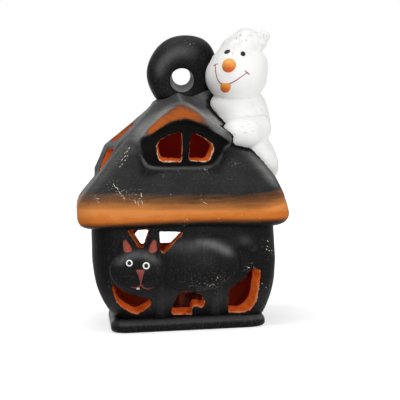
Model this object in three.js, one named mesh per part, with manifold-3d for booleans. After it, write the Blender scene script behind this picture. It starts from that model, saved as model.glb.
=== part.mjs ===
// A terracotta house lantern: a bulging pierced body with a cat in relief, a hipped roof that
// lifts off, two hooded roof windows, a carrying ring and a ghost hugging the right slope.
// Millimetres, +Z up, the front looks along -Y, the origin is the centre of the foot on the table.
import * as THREE from 'three';
import { mergeVertices } from 'three/addons/utils/BufferGeometryUtils.js';
import Module from 'manifold-3d';

const wasm = await Module();
wasm.setup();

// Gaps
const JOINT_GAP = 0.3; // slip joint between two clay pieces
const LID_GAP = 1.0; // play of the roof around the wall rim
const SLOPE_GAP = 0.45; // joint under the pieces that lie on the roof's slopes

// Foot and walls
const FOOT_WIDTH = 95.5;
const FOOT_DEPTH = 80;
const FOOT_HEIGHT = 7;
const FOOT_CORNER = 9;
const FOOT_ROUND = 2.4;
const BODY_WIDTH = 113;
const BODY_DEPTH = 93;
const BODY_CORNER = 16;
const WALL = 7;
const SWELL_HEIGHT = 43; // height of the fullest part
const SWELL_RADIUS = 50; // curve of the wall below it
const RIM_LEAN = 0.7; // how far the rim stands in from the fullest part
const RIM_HEIGHT = 70;

// Roof
const EAVE_WIDTH = 131;
const EAVE_DEPTH = 108;
const EAVE_CORNER = 13;
const EAVE_OVERLAP = 4.5; // how far the eave hangs down over the wall rim
const EAVE_HEIGHT = 19;
const EAVE_ROUND = 7; // its lower edge
const EAVE_SHOULDER = 10; // its bend into the slopes
const EAVE_BEND = 0.63; // radians that the shoulder turns through
const ROOF_RISE = 57.9; // from the eave to the flat top that carries the ring
const ROOF_TOP_WIDTH = 32;
const ROOF_TOP_DEPTH = 25;
const ROOF_TOP_CORNER = 4;
const ROOF_TOP_SHIFT = 3; // the top stands a little right of the middle
const ROOF_WALL = 7;
const ROOF_TOP_WALL = 8;

// Front dormer, with heights above its sill
const SILL_RISE = 17.1; // sill above the eave
const HOOD_PROUD = 1.6; // from the slope at the sill to the hood's face
const HOOD_HALF = 30;
const HOOD_PEAK = 38.3;
const HOOD_TIP = 18;
const HOOD_TIP_THICKNESS = 5;
const HOOD_TIP_TUCK = 1.7; // how far the tip's underside stands in from it
const HOOD_FOOT_HALF = 23;
const HOOD_CLIMB = 0.18; // slope of the ridge towards the ring
const HOOD_NARROW = 0.8; // share of its width that is left at the ring
const RECESS_FOOT_HALF = 19;
const RECESS_HALF = 25;
const RECESS_SHOULDER = 12;
const RECESS_CROWN = 27;
const RECESS_BEND = 0.85; // share of its half width at which the arch is fullest
const RECESS_DEPTH = 5;
const PANE_WALL = 5;
const PANE_JOIN = 1; // how far the window plate runs into the cheeks
const PANE_FOOT = 3;
const PANE_HALF = 18;
const PANE_CROWN = 20.5;
const PANE_SHIFT = 1.8; // the mullion stands a little right of the hood's middle
const PANE_CURVE = 5; // round of the lower outer corner
const PANE_BEND = 0.8; // share of its half width at which a pane's arch is fullest
const PANE_DROP = 1; // how far the arch's fullest point lies under the crown
const MULLION = 4.7;

// Left dormer, with heights above the eave and how far each edge stands out from the slope
const SIDE_TOP_RISE = 50;
const SIDE_TOP_PROUD = 3;
const SIDE_BROW_RISE = 30.9;
const SIDE_BROW_PROUD = 9.5;
const SIDE_FOOT_RISE = 13.5;
const SIDE_FOOT_PROUD = 1.2;
const SIDE_HALF = 17;
const SIDE_WALL = 4.5;
const SIDE_DEPTH = 15; // how far the light well runs in under the slope
const SIDE_BAR = 2.3; // half of the bar between the two lights
const SIDE_UPPER_LIGHT = 19; // from the brow to the upper light's far edge
const SIDE_LOWER_LIGHT = 15;
const SIDE_LIGHT_REACH = 6.7; // how far a light's cut runs to either side of the hood's face

// Ring
const RING_RADIUS = 22.8;
const RING_THICKNESS = 17;
const RING_STAND = 18.2; // centre above the roof's flat top
const RING_SHIFT = 4.2; // the ring stands a little right of the middle
const BORE_RADIUS = 7.3;
const BORE_DROP = 5.6; // the finger hole sits below the ring's centre

// Ghost: how far each middle stands out from the right slope, its depth, and its height above the
// roof's flat top
const GHOST_HEAD_AT = new THREE.Vector3(29.7, -14.5, 13.6);
const GHOST_HEAD_SIZE = new THREE.Vector3(19.4, 18.6, 17.3);
const GHOST_TORSO_AT = new THREE.Vector3(8, -10, -17.2);
const GHOST_TORSO_SIZE = new THREE.Vector3(18.6, 16, 18);
const GHOST_ROBE_AT = new THREE.Vector3(2, -9, -35);
const GHOST_ROBE_SIZE = new THREE.Vector3(19.5, 15, 9.5);
const GHOST_ROBE_TILT = 0.95;
const GHOST_ARM_FROM = new THREE.Vector3(-9.3, -28, -22.5);
const GHOST_ARM_TO = new THREE.Vector3(11.1, -20, -22);
const GHOST_ARM_RADIUS = 7.2;
const GHOST_NOSE_AT = new THREE.Vector2(-6, 7.6);
const GHOST_NOSE_RADIUS = 4.4;
const GHOST_TONGUE_AT = new THREE.Vector2(-9, -5);
const GHOST_TONGUE_SIZE = new THREE.Vector3(3.1, 2, 3);
// The folded tip of the hood, from the middle of the head: its path and its thickness
const GHOST_TIP_PATH = [[-1, 0, 8], [1, 0.5, 17], [6, 1.5, 23.5], [15.5, 2.5, 25]];
const GHOST_TIP_RADII = [14, 9.5, 7, 5];

// Cat on the front
const CAT_HEAD_AT = new THREE.Vector2(-29.9, 39.6);
const CAT_HEAD_HALF = 17.2;
const CAT_HEAD_RISE = 13.4;
const CAT_HEAD_RELIEF = 7.4;
const CAT_BODY_AT = new THREE.Vector2(8, 41.5);
const CAT_BODY_HALF = 24;
const CAT_BODY_RISE = 17;
const CAT_BODY_RELIEF = 5;
const CAT_EAR_SPREAD = 7.9;
const CAT_EAR_FOOT = 8; // middle of the ear's foot above the middle of the head
const CAT_EAR_RADIUS = 4.8;
const CAT_EAR_TIP = 17;
const CAT_EAR_TIP_RADIUS = 2.2;
const CAT_LEG_RADIUS = 5.6;
const CAT_FRONT_LEG = -16.3;
const CAT_HIND_LEG = 17.3;
const CAT_LEG_SUNK = 0.5; // share of its radius that lies in the wall
// The tail, from the middle of the body: up off the rump, over and down
const CAT_TAIL_PATH = [[17, 10], [25, 16], [33, 12], [36, 3]];
const CAT_TAIL_RADII = [3.8, 3.8, 3.4, 2.4];
const CAT_TAIL_SUNK = 0.33;

// Candle opening in the back wall
const DOOR_HALF = 28;
const DOOR_SILL = 48;
const DOOR_SPRING = 53;
const DOOR_CROWN = 64;

// Tealight
const CUP_RADIUS = 19;
const CUP_HEIGHT = 14;
const CUP_SHEET = 0.5;
const WAX_HEIGHT = 11.5;
const WAX_DISH = 1; // how far the wax sinks at the wick
const SUSTAINER_RADIUS = 7.5;
const SUSTAINER_SHEET = 0.6;
const SUSTAINER_NECK = 4.5;
const WICK_RADIUS = 0.8;
const WICK_HEIGHT = 20;
const NECK_WALL = 0.5;

// Mesh fineness
const CORNER_STEPS = 5;
const ROUND_STEPS = 4;
const SWELL_STEPS = 6;
const BALL_AROUND = 26;
const BALL_LEVELS = 14;
const SMALL_BALL_AROUND = 16;
const SMALL_BALL_LEVELS = 10;
const LIMB_AROUND = 16;
const LIMB_STEPS = 4;
const CURVE_STEPS = 8;
const TURNED_AROUND = 40;
const RING_AROUND = 32;
const RING_ROUND_STEPS = 10;

// Planes and levels that several pieces share
const WALL_FOOT = FOOT_HEIGHT + JOINT_GAP;
const EAVE_UNDERSIDE = RIM_HEIGHT - EAVE_OVERLAP;
const EAVE_TOP = EAVE_UNDERSIDE + EAVE_HEIGHT;
const EAVE_SETBACK = EAVE_SHOULDER * (1 - Math.cos(EAVE_BEND));
const ROOF_SEAT = RIM_HEIGHT + JOINT_GAP;
const ROOF_HEIGHT = EAVE_TOP + ROOF_RISE;
const ROOF_FOOT_X = EAVE_WIDTH / 2 - EAVE_SETBACK;
const ROOF_FOOT_Y = EAVE_DEPTH / 2 - EAVE_SETBACK;
const ROOF_RUN_X = ROOF_FOOT_X - ROOF_TOP_WIDTH / 2;
const ROOF_RUN_Y = ROOF_FOOT_Y - ROOF_TOP_DEPTH / 2;
const SILL_HEIGHT = EAVE_TOP + SILL_RISE;
const HOOD_FACE = -(ROOF_FOOT_Y - (SILL_RISE / ROOF_RISE) * ROOF_RUN_Y) - HOOD_PROUD;
const HOOD_BACK = -RING_THICKNESS / 2 - JOINT_GAP;
const RING_CENTRE = ROOF_HEIGHT + RING_STAND;
const FAR = 3 * EAVE_WIDTH; // longer than any cut needs to be
const BEYOND = 1; // how far a hollow is run on past the piece that it opens

// Solids and geometry

/** Merges a closed geometry's shared points and drops its collapsed triangles. */
function welded(geometry) {
  const bare = geometry.clone();
  bare.deleteAttribute('normal');
  bare.deleteAttribute('uv');
  const merged = mergeVertices(bare, 1e-4);
  const old = merged.index.array;
  const kept = [];
  for (let i = 0; i < old.length; i += 3) {
    const [a, b, c] = [old[i], old[i + 1], old[i + 2]];
    if (a !== b && b !== c && c !== a) kept.push(a, b, c);
  }
  merged.setIndex(kept);
  return merged;
}

/** Makes a solid, which can be joined and cut, from a closed geometry. */
function solid(geometry) {
  const closed = welded(geometry);
  return new wasm.Manifold(new wasm.Mesh({
    numProp: 3,
    vertProperties: new Float32Array(closed.attributes.position.array),
    triVerts: new Uint32Array(closed.index.array),
  }));
}

/** Gives a solid's faces back as a geometry. */
function geometryOf(body) {
  const mesh = body.getMesh();
  const geometry = new THREE.BufferGeometry();
  geometry.setAttribute('position', new THREE.BufferAttribute(mesh.vertProperties, 3));
  geometry.setIndex(new THREE.BufferAttribute(mesh.triVerts, 1));
  geometry.computeVertexNormals();
  return geometry;
}

/** Cuts each of the tools off a body. */
function cut(body, ...tools) {
  return tools.reduce((left, tool) => left.subtract(tool), body);
}

/** Skins a stack of closed loops with equal counts of points and closes both ends. */
function loft(loops) {
  const count = loops[0].length;
  const top = (loops.length - 1) * count;
  const faces = [];
  for (let level = 0; level < top; level += count) {
    for (let i = 0; i < count; i += 1) {
      const [a, b] = [level + i, level + ((i + 1) % count)];
      faces.push(a, b, b + count, a, b + count, a + count);
    }
  }
  for (let i = 1; i + 1 < count; i += 1) {
    faces.push(0, i + 1, i, top, top + i, top + i + 1);
  }
  const geometry = new THREE.BufferGeometry().setFromPoints(loops.flat());
  geometry.setIndex(faces);
  geometry.computeVertexNormals();
  return geometry;
}

/** A level loop of four straight sides and four round corners. */
function roundedLoop(halfX, halfY, corner, z) {
  const radius = Math.min(corner, halfX, halfY);
  const loop = [];
  for (let quarter = 0; quarter < 4; quarter += 1) {
    const middle = (quarter + 0.5) * (Math.PI / 2);
    const x = Math.sign(Math.cos(middle)) * (halfX - radius);
    const y = Math.sign(Math.sin(middle)) * (halfY - radius);
    for (let step = 0; step <= CORNER_STEPS; step += 1) {
      const angle = (quarter + step / CORNER_STEPS) * (Math.PI / 2);
      loop.push(new THREE.Vector3(x + radius * Math.cos(angle), y + radius * Math.sin(angle), z));
    }
  }
  return loop;
}

/** Levels and insets of a band from its underside up: its lower edge is rounded, and its upper
 *  edge turns in through an angle. */
function bandProfile(height, lower, upper, turn) {
  const profile = [];
  for (let step = 0; step <= ROUND_STEPS; step += 1) {
    const angle = (step / ROUND_STEPS) * (Math.PI / 2);
    profile.push([lower * (1 - Math.cos(angle)), lower * (1 - Math.sin(angle))]);
  }
  for (let step = 0; step <= ROUND_STEPS; step += 1) {
    const angle = (step / ROUND_STEPS) * turn;
    profile.push([height + upper * (Math.sin(angle) - Math.sin(turn)), upper * (1 - Math.cos(angle))]);
  }
  return profile;
}

/** An ellipsoid moved out by grow, its axes along X, Y and Z or tilted round Y. */
function ellipsoid(centre, size, grow = 0, tilt = 0) {
  const small = Math.max(...size.toArray()) < 2 * GHOST_NOSE_RADIUS;
  const ball = new THREE.SphereGeometry(
    1, small ? SMALL_BALL_AROUND : BALL_AROUND, small ? SMALL_BALL_LEVELS : BALL_LEVELS);
  ball.rotateX(Math.PI / 2);
  ball.scale(size.x + grow, size.y + grow, size.z + grow);
  ball.rotateY(tilt);
  ball.translate(centre.x, centre.y, centre.z);
  return solid(ball);
}

/** A round limb along a smooth path, with one radius for each point of the path. */
function limb(points, radii, grow = 0) {
  const steps = LIMB_STEPS * (points.length - 1);
  const path = new THREE.CatmullRomCurve3(points);
  const frames = path.computeFrenetFrames(steps);
  const loops = [];
  for (let step = 0; step <= steps; step += 1) {
    const along = (step / steps) * (radii.length - 1);
    const index = Math.min(Math.floor(along), radii.length - 2);
    const radius = THREE.MathUtils.lerp(radii[index], radii[index + 1], along - index) + grow;
    const centre = path.getPoint(step / steps);
    const loop = [];
    for (let i = 0; i < LIMB_AROUND; i += 1) {
      const angle = (i / LIMB_AROUND) * 2 * Math.PI;
      loop.push(centre.clone()
        .addScaledVector(frames.normals[step], radius * Math.cos(angle))
        .addScaledVector(frames.binormals[step], radius * Math.sin(angle)));
    }
    loops.push(loop);
  }
  const ends = [[points[0], radii[0]], [points.at(-1), radii.at(-1)]];
  return ends.reduce((body, [point, radius]) => {
    const end = new THREE.SphereGeometry(radius + grow, LIMB_AROUND, LIMB_AROUND / 2);
    end.translate(...point.toArray());
    return body.add(solid(end));
  }, solid(loft(loops)));
}

/** Carries a front outline, drawn in X and Z, from one depth back to another, level and with one
 *  width, or climbing by a slope and narrowing to a share of its width. */
function prism(shape, front, back, climb = 0, share = 1) {
  const geometry = new THREE.ExtrudeGeometry(shape, {
    depth: back - front,
    bevelEnabled: false,
    curveSegments: CURVE_STEPS,
  });
  geometry.rotateX(Math.PI / 2);
  geometry.translate(0, back, 0);
  const points = geometry.attributes.position;
  for (let i = 0; i < points.count; i += 1) {
    const run = points.getY(i) - front;
    const narrow = THREE.MathUtils.lerp(1, share, run / (back - front));
    points.setX(i, points.getX(i) * narrow);
    points.setZ(i, points.getZ(i) + climb * run);
  }
  return solid(geometry);
}

/** A polygon moved out by a distance along all its edges, its points running anticlockwise. */
function offsetOutline(points, distance) {
  return points.map((point, i) => {
    const before = points.at(i - 1);
    const after = points[(i + 1) % points.length];
    const one = point.clone().sub(before).normalize();
    const two = after.clone().sub(point).normalize();
    const normal = new THREE.Vector2(one.y + two.y, -one.x - two.x).normalize();
    const stretch = normal.x * one.y - normal.y * one.x;
    return point.clone().addScaledVector(normal, distance / stretch);
  });
}

/** A box between two depths that is wide and tall enough to split anything. */
function slab(front, back) {
  const box = new THREE.BoxGeometry(FAR, back - front, FAR);
  box.translate(0, (front + back) / 2, 0);
  return solid(box);
}

// House

/** How far the wall's outside lies in from its fullest size at a height. */
function wallInset(z) {
  if (z < SWELL_HEIGHT) return SWELL_RADIUS - Math.sqrt(SWELL_RADIUS ** 2 - (SWELL_HEIGHT - z) ** 2);
  return RIM_LEAN * ((z - SWELL_HEIGHT) / (RIM_HEIGHT - SWELL_HEIGHT)) ** 2;
}

/** The wall's outline at a height, moved out by grow. */
function wallLoop(z, grow, shapeZ = z) {
  const out = grow - wallInset(shapeZ);
  return roundedLoop(BODY_WIDTH / 2 + out, BODY_DEPTH / 2 + out, BODY_CORNER + grow, z);
}

/** The wall's outside as one solid block, moved out by grow and run on past its ends. */
function wallBlock(grow, beyond) {
  const loops = [wallLoop(WALL_FOOT - beyond, grow, WALL_FOOT)];
  for (let step = beyond > 0 ? 0 : 1; step <= SWELL_STEPS; step += 1) {
    const z = THREE.MathUtils.lerp(WALL_FOOT, SWELL_HEIGHT, step / SWELL_STEPS);
    loops.push(wallLoop(z, grow));
  }
  loops.push(wallLoop((SWELL_HEIGHT + RIM_HEIGHT) / 2, grow));
  loops.push(wallLoop(RIM_HEIGHT, grow));
  if (beyond > 0) loops.push(wallLoop(RIM_HEIGHT + beyond, grow, RIM_HEIGHT));
  return solid(loft(loops));
}

/** Depth of the front wall's outside at a height. */
function wallFront(z) {
  return wallInset(z) - BODY_DEPTH / 2;
}

/** A closed outline round a centre, through straight and curved stretches: [x, z] is a line's end,
 *  and [x, z, bendX, bendZ] a curve's end with the point that it bends towards. */
function outline(centre, ...stretches) {
  const shape = new THREE.Shape();
  const { x: midX, y: midZ } = centre;
  stretches.forEach(([x, z, bendX, bendZ], i) => {
    if (i === 0) shape.moveTo(midX + x, midZ + z);
    else if (bendX === undefined) shape.lineTo(midX + x, midZ + z);
    else shape.quadraticCurveTo(midX + bendX, midZ + bendZ, midX + x, midZ + z);
  });
  shape.closePath();
  return shape;
}

/** The five cut-outs around the cat: between the ears, behind the head, and three at the feet. */
function catCutouts() {
  const betweenEars = outline(CAT_HEAD_AT, [-4, 24], [1, 14.4], [3.8, 14.4], [7, 24]);
  const behindHead = outline(CAT_HEAD_AT, [14, 23], [16.3, 9.5], [28.3, 22]);
  const underHead = outline(
    CAT_HEAD_AT, [-16, -8.8], [-0.8, -28.2, -13.8, -25], [7.3, -23, 5.2, -28], [7.4, -19.5],
    [3.8, -16.9, 6.5, -17.5]);
  const underBelly = outline(
    CAT_BODY_AT, [-18.6, -29.6], [-16.7, -31.4, -18.6, -31.4], [-5.5, -31.4], [-3, -26.4, -5.5, -26.6],
    [0.2, -18.3, 6, -23.5], [-8.3, -16.6, -4, -16.6], [-17.1, -23.2, -15, -16.8]);
  const behindLeg = outline(
    CAT_BODY_AT, [17.1, -31], [25.7, -31], [38.2, -4.5, 36.5, -28], [30.8, -4.5],
    [21.9, -13.7, 29, -10], [16.8, -19, 16.8, -16]);
  return [betweenEars, behindHead, underHead, underBelly, behindLeg];
}

/** The low arched opening in the back wall. */
function doorOutline() {
  const shape = new THREE.Shape();
  shape.moveTo(-DOOR_HALF, DOOR_SILL);
  shape.lineTo(DOOR_HALF, DOOR_SILL);
  shape.lineTo(DOOR_HALF, DOOR_SPRING);
  shape.absellipse(0, DOOR_SPRING, DOOR_HALF, DOOR_CROWN - DOOR_SPRING, 0, Math.PI, false, 0);
  shape.closePath();
  return shape;
}

const wallOutside = wallBlock(JOINT_GAP, JOINT_GAP);
const walls = cut(
  wallBlock(0, 0),
  wallBlock(-WALL, BEYOND),
  ...catCutouts().map((shape) => prism(shape, -BODY_DEPTH, 0)),
  prism(doorOutline(), 0, BODY_DEPTH),
);
const frontWallHalf = walls.intersect(slab(-FAR, -JOINT_GAP / 2));
const backWallHalf = walls.intersect(slab(JOINT_GAP / 2, FAR));

const plinthLoops = bandProfile(FOOT_HEIGHT, FOOT_ROUND, FOOT_ROUND, Math.PI / 2).map(([z, inset]) => (
  roundedLoop(FOOT_WIDTH / 2 - inset, FOOT_DEPTH / 2 - inset, FOOT_CORNER, z)));

// Cat

/** A low oval relief on the front wall, centred in X and Z. */
function relief(centre, half, rise, height, grow = 0) {
  return ellipsoid(
    new THREE.Vector3(centre.x, wallFront(centre.y), centre.y), new THREE.Vector3(half, height, rise), grow);
}

const catHeadFull = relief(CAT_HEAD_AT, CAT_HEAD_HALF, CAT_HEAD_RISE, CAT_HEAD_RELIEF);
const catHeadGrown = relief(CAT_HEAD_AT, CAT_HEAD_HALF, CAT_HEAD_RISE, CAT_HEAD_RELIEF, JOINT_GAP);
const catBodyFull = relief(CAT_BODY_AT, CAT_BODY_HALF, CAT_BODY_RISE, CAT_BODY_RELIEF);
const catBodyGrown = relief(CAT_BODY_AT, CAT_BODY_HALF, CAT_BODY_RISE, CAT_BODY_RELIEF, JOINT_GAP);

/** A limb along places in X and Z on the front wall, sunk into it by a share of its radius. */
function wallLimb(places, radii, sunk) {
  const points = places.map(([x, z], i) => new THREE.Vector3(x, wallFront(z) + sunk * radii[i], z));
  return limb(points, radii).subtract(wallOutside);
}

/** A blunt ear standing on the head. */
function catEar(x) {
  const foot = [x, CAT_HEAD_AT.y + CAT_EAR_FOOT];
  const tip = [x, CAT_HEAD_AT.y + CAT_EAR_TIP];
  return cut(wallLimb([foot, tip], [CAT_EAR_RADIUS, CAT_EAR_TIP_RADIUS], 0), catHeadGrown);
}

/** A leg that follows the curve of the wall down to the foot. */
function catLeg(x) {
  const paw = WALL_FOOT + CAT_LEG_RADIUS / 2;
  const hip = CAT_BODY_AT.y - CAT_BODY_RISE / 2;
  const places = [hip, (hip + paw) / 2, paw].map((z) => [x, z]);
  const radii = places.map(() => CAT_LEG_RADIUS);
  const underPaw = new THREE.BoxGeometry(FAR, FAR, FAR);
  underPaw.translate(0, 0, WALL_FOOT - FAR / 2);
  return cut(wallLimb(places, radii, CAT_LEG_SUNK), catHeadGrown, catBodyGrown, solid(underPaw));
}

/** The tail arches off the rump. */
function catTail() {
  const places = CAT_TAIL_PATH.map(([x, z]) => [CAT_BODY_AT.x + x, CAT_BODY_AT.y + z]);
  return cut(wallLimb(places, CAT_TAIL_RADII, CAT_TAIL_SUNK), catBodyGrown);
}

// Roof

/** A level loop along the slopes at a height, drawn in by insets and never past the walls' inside. */
function slopeLoop(z, insetX, insetY, corner, limitX = FAR, limitY = FAR) {
  const share = (z - EAVE_TOP) / ROOF_RISE;
  const halfX = ROOF_FOOT_X - share * ROOF_RUN_X - insetX;
  const halfY = ROOF_FOOT_Y - share * ROOF_RUN_Y - insetY;
  const loop = roundedLoop(Math.min(halfX, limitX), Math.min(halfY, limitY), corner, z);
  const shift = Math.max(share, 0) * ROOF_TOP_SHIFT;
  return loop.map((point) => point.setX(point.x + shift));
}

/** Distance from the middle plane to the right (1) or left (-1) slope at a rise above the eave. */
function slopeEdge(rise, side) {
  return ROOF_FOOT_X - (rise / ROOF_RISE) * (ROOF_RUN_X - side * ROOF_TOP_SHIFT);
}

/** The roof's outside as one solid block, moved out by grow. */
function roofBlock(grow) {
  const eave = bandProfile(EAVE_HEIGHT, EAVE_ROUND, EAVE_SHOULDER, EAVE_BEND);
  const loops = eave.map(([z, inset]) => {
    const out = grow - inset;
    return roundedLoop(EAVE_WIDTH / 2 + out, EAVE_DEPTH / 2 + out, EAVE_CORNER, EAVE_UNDERSIDE + z);
  });
  const top = slopeLoop(ROOF_HEIGHT, -grow, -grow, ROOF_TOP_CORNER);
  loops.push(top.map((point) => point.setZ(ROOF_HEIGHT + grow)));
  return solid(loft(loops));
}

/** The hollow under the roof: straight up from the walls' inside, then along the slopes. */
function roofHollow() {
  const thickX = ROOF_WALL * Math.hypot(1, ROOF_RUN_X / ROOF_RISE);
  const thickY = ROOF_WALL * Math.hypot(1, ROOF_RUN_Y / ROOF_RISE);
  const inside = RIM_LEAN + WALL;
  const limitX = BODY_WIDTH / 2 - inside;
  const limitY = BODY_DEPTH / 2 - inside;
  const turnX = EAVE_TOP + ((ROOF_FOOT_X - thickX - limitX) * ROOF_RISE) / ROOF_RUN_X;
  const turnY = EAVE_TOP + ((ROOF_FOOT_Y - thickY - limitY) * ROOF_RISE) / ROOF_RUN_Y;
  const turns = [Math.min(turnX, turnY), Math.max(turnX, turnY)];
  const levels = [EAVE_UNDERSIDE, ...turns, ROOF_HEIGHT - ROOF_TOP_WALL];
  const corner = BODY_CORNER - WALL;
  return solid(loft(levels.map((z) => slopeLoop(z, thickX, thickY, corner, limitX, limitY))));
}

/** The pocket in the eave's underside that fits over the wall rim. */
function rimPocket() {
  return solid(loft([
    wallLoop(EAVE_UNDERSIDE - LID_GAP, LID_GAP, RIM_HEIGHT),
    wallLoop(ROOF_SEAT, LID_GAP, RIM_HEIGHT),
  ]));
}

// Front dormer

/** The hood's front outline, anticlockwise, moved out by grow. */
function hoodOutline(grow) {
  const tip = SILL_HEIGHT + HOOD_TIP;
  const foot = EAVE_TOP;
  const half = [
    [HOOD_FOOT_HALF, foot],
    [HOOD_HALF - HOOD_TIP_TUCK, tip - HOOD_TIP_THICKNESS],
    [HOOD_HALF, tip],
  ];
  const right = half.map(([x, z]) => new THREE.Vector2(x, z));
  const left = half.map(([x, z]) => new THREE.Vector2(-x, z)).reverse();
  const peak = new THREE.Vector2(0, SILL_HEIGHT + HOOD_PEAK);
  return new THREE.Shape(offsetOutline([...right, peak, ...left], grow));
}

/** The hood as one solid, moved out by grow, climbing and narrowing towards the ring. */
function hoodSolid(grow) {
  return prism(hoodOutline(grow), HOOD_FACE - grow, HOOD_BACK, HOOD_CLIMB, HOOD_NARROW);
}

/** The arched recess under the hood, drawn in by inset. */
function recessOutline(inset) {
  const foot = RECESS_FOOT_HALF - inset;
  const side = RECESS_HALF - inset;
  const crown = RECESS_CROWN - inset;
  const bend = side * RECESS_BEND;
  return outline(
    new THREE.Vector2(0, SILL_HEIGHT),
    [-foot, inset], [foot, inset], [side, RECESS_SHOULDER],
    [0, crown, bend, crown], [-side, RECESS_SHOULDER, -bend, crown]);
}

/** One of the two panes, to the right of the mullion or, mirrored, to the left. */
function paneOutline(side) {
  const inner = (side * MULLION) / 2;
  const outer = side * PANE_HALF;
  return outline(
    new THREE.Vector2(PANE_SHIFT, SILL_HEIGHT),
    [inner, PANE_FOOT], [outer - side * PANE_CURVE, PANE_FOOT],
    [outer, PANE_FOOT + PANE_CURVE, outer, PANE_FOOT],
    [inner, PANE_CROWN, outer * PANE_BEND, PANE_CROWN - PANE_DROP]);
}

/** The whole dormer: hood, cheeks and the pierced window plate set back under the hood. */
function frontDormer() {
  const plateFront = HOOD_FACE + RECESS_DEPTH;
  const plateBack = plateFront + PANE_WALL;
  const hood = cut(hoodSolid(0), roofGrown, recessTunnel);
  const plate = prism(recessOutline(-PANE_JOIN), plateFront, plateBack).intersect(hoodSolid(0));
  const inRoof = prism(recessOutline(JOINT_GAP), plateFront, plateBack);
  const panes = [-1, 1].map((side) => prism(paneOutline(side), HOOD_FACE, 0));
  return cut(hood.add(plate.subtract(roofGrown)).add(inRoof), ...panes);
}

// Left dormer

/** A point of the side hood's profile, in X and Z, from its rise and how far it stands out. */
function besideSlope(rise, proud) {
  return new THREE.Vector2(-slopeEdge(rise, -1) - proud, EAVE_TOP + rise);
}

const sideTop = besideSlope(SIDE_TOP_RISE, SIDE_TOP_PROUD);
const sideBrow = besideSlope(SIDE_BROW_RISE, SIDE_BROW_PROUD);
const sideFoot = besideSlope(SIDE_FOOT_RISE, SIDE_FOOT_PROUD);

/** The side hood's profile in X and Z, anticlockwise, closed under the slope. */
function sideProfile() {
  const deepFoot = besideSlope(SIDE_FOOT_RISE, -SIDE_DEPTH);
  const deepTop = besideSlope(SIDE_TOP_RISE, -SIDE_DEPTH);
  return [sideFoot, deepFoot, deepTop, sideTop, sideBrow];
}

/** A light that starts beside the brow's bar and runs towards an end of the profile. */
function sideLight(end, length) {
  const along = end.clone().sub(sideBrow).normalize();
  const across = new THREE.Vector2(Math.abs(along.y), -Math.abs(along.x)).multiplyScalar(SIDE_LIGHT_REACH);
  const near = sideBrow.clone().addScaledVector(along, SIDE_BAR);
  const far = sideBrow.clone().addScaledVector(along, length);
  const corners = [[near, -1], [near, 1], [far, 1], [far, -1]];
  const shape = new THREE.Shape(corners.map(([point, way]) => point.clone().addScaledVector(across, way)));
  return prism(shape, -sideLightHalf, sideLightHalf);
}

const sideLightHalf = SIDE_HALF - SIDE_WALL;
const sideWell = prism(
  new THREE.Shape(offsetOutline(sideProfile(), -SIDE_WALL)), -sideLightHalf, sideLightHalf);

/** The low hood on the left slope with a light above and a light below its brow. */
function leftDormer() {
  const hood = prism(new THREE.Shape(sideProfile()), -SIDE_HALF, SIDE_HALF);
  const upper = sideLight(sideTop, SIDE_UPPER_LIGHT);
  const lower = sideLight(sideFoot, SIDE_LOWER_LIGHT);
  return cut(hood, roofGrown, ringGrown, hoodGrown, sideWell, upper, lower);
}

// Ring

/** The carrying ring's round, moved out by grow, before the finger hole is cut. */
function ringRound(grow) {
  const half = RING_THICKNESS / 2 + grow;
  const edge = RING_RADIUS + grow - half;
  const profile = [new THREE.Vector2(0, -half)];
  for (let step = 0; step <= RING_ROUND_STEPS; step += 1) {
    const angle = (step / RING_ROUND_STEPS - 1 / 2) * Math.PI;
    profile.push(new THREE.Vector2(edge + half * Math.cos(angle), half * Math.sin(angle)));
  }
  profile.push(new THREE.Vector2(0, half));
  const round = new THREE.LatheGeometry(profile, RING_AROUND);
  round.translate(RING_SHIFT, 0, RING_CENTRE);
  return solid(round);
}

/** The ring with its finger hole, cut flat where it stands on the roof. */
function ringHandle() {
  const bore = new THREE.CylinderGeometry(BORE_RADIUS, BORE_RADIUS, FAR, RING_AROUND);
  bore.translate(RING_SHIFT, 0, RING_CENTRE - BORE_DROP);
  const below = new THREE.BoxGeometry(FAR, FAR, FAR);
  below.translate(0, 0, ROOF_HEIGHT + JOINT_GAP - FAR / 2);
  return cut(ringRound(0), solid(bore), solid(below));
}

// Ghost

/** Places a ghost measure, given from the right slope and the roof's flat top. */
function onRoof(point) {
  return new THREE.Vector3(slopeEdge(ROOF_RISE + point.z, 1) + point.x, point.y, ROOF_HEIGHT + point.z);
}

/** The arm laid across the front of the torso. */
function ghostArmSolid(grow) {
  const from = onRoof(GHOST_ARM_FROM);
  const to = onRoof(GHOST_ARM_TO);
  return limb([from, from.clone().lerp(to, 1 / 2), to], Array(3).fill(GHOST_ARM_RADIUS), grow);
}

/** The hood's folded tip: up from the crown and over to the right. */
function ghostHood() {
  const crown = onRoof(GHOST_HEAD_AT);
  const points = GHOST_TIP_PATH.map((place) => crown.clone().add(new THREE.Vector3(...place)));
  return cut(limb(points, GHOST_TIP_RADII), ghostHeadGrown, ringGrown);
}

/** A place on the head's surface, from the middle of the face. */
function onFace(place) {
  const across = place.x / GHOST_HEAD_SIZE.x;
  const rise = place.y / GHOST_HEAD_SIZE.z;
  const depth = -GHOST_HEAD_SIZE.y * Math.sqrt(1 - across ** 2 - rise ** 2);
  return onRoof(GHOST_HEAD_AT).add(new THREE.Vector3(place.x, depth, place.y));
}

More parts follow.
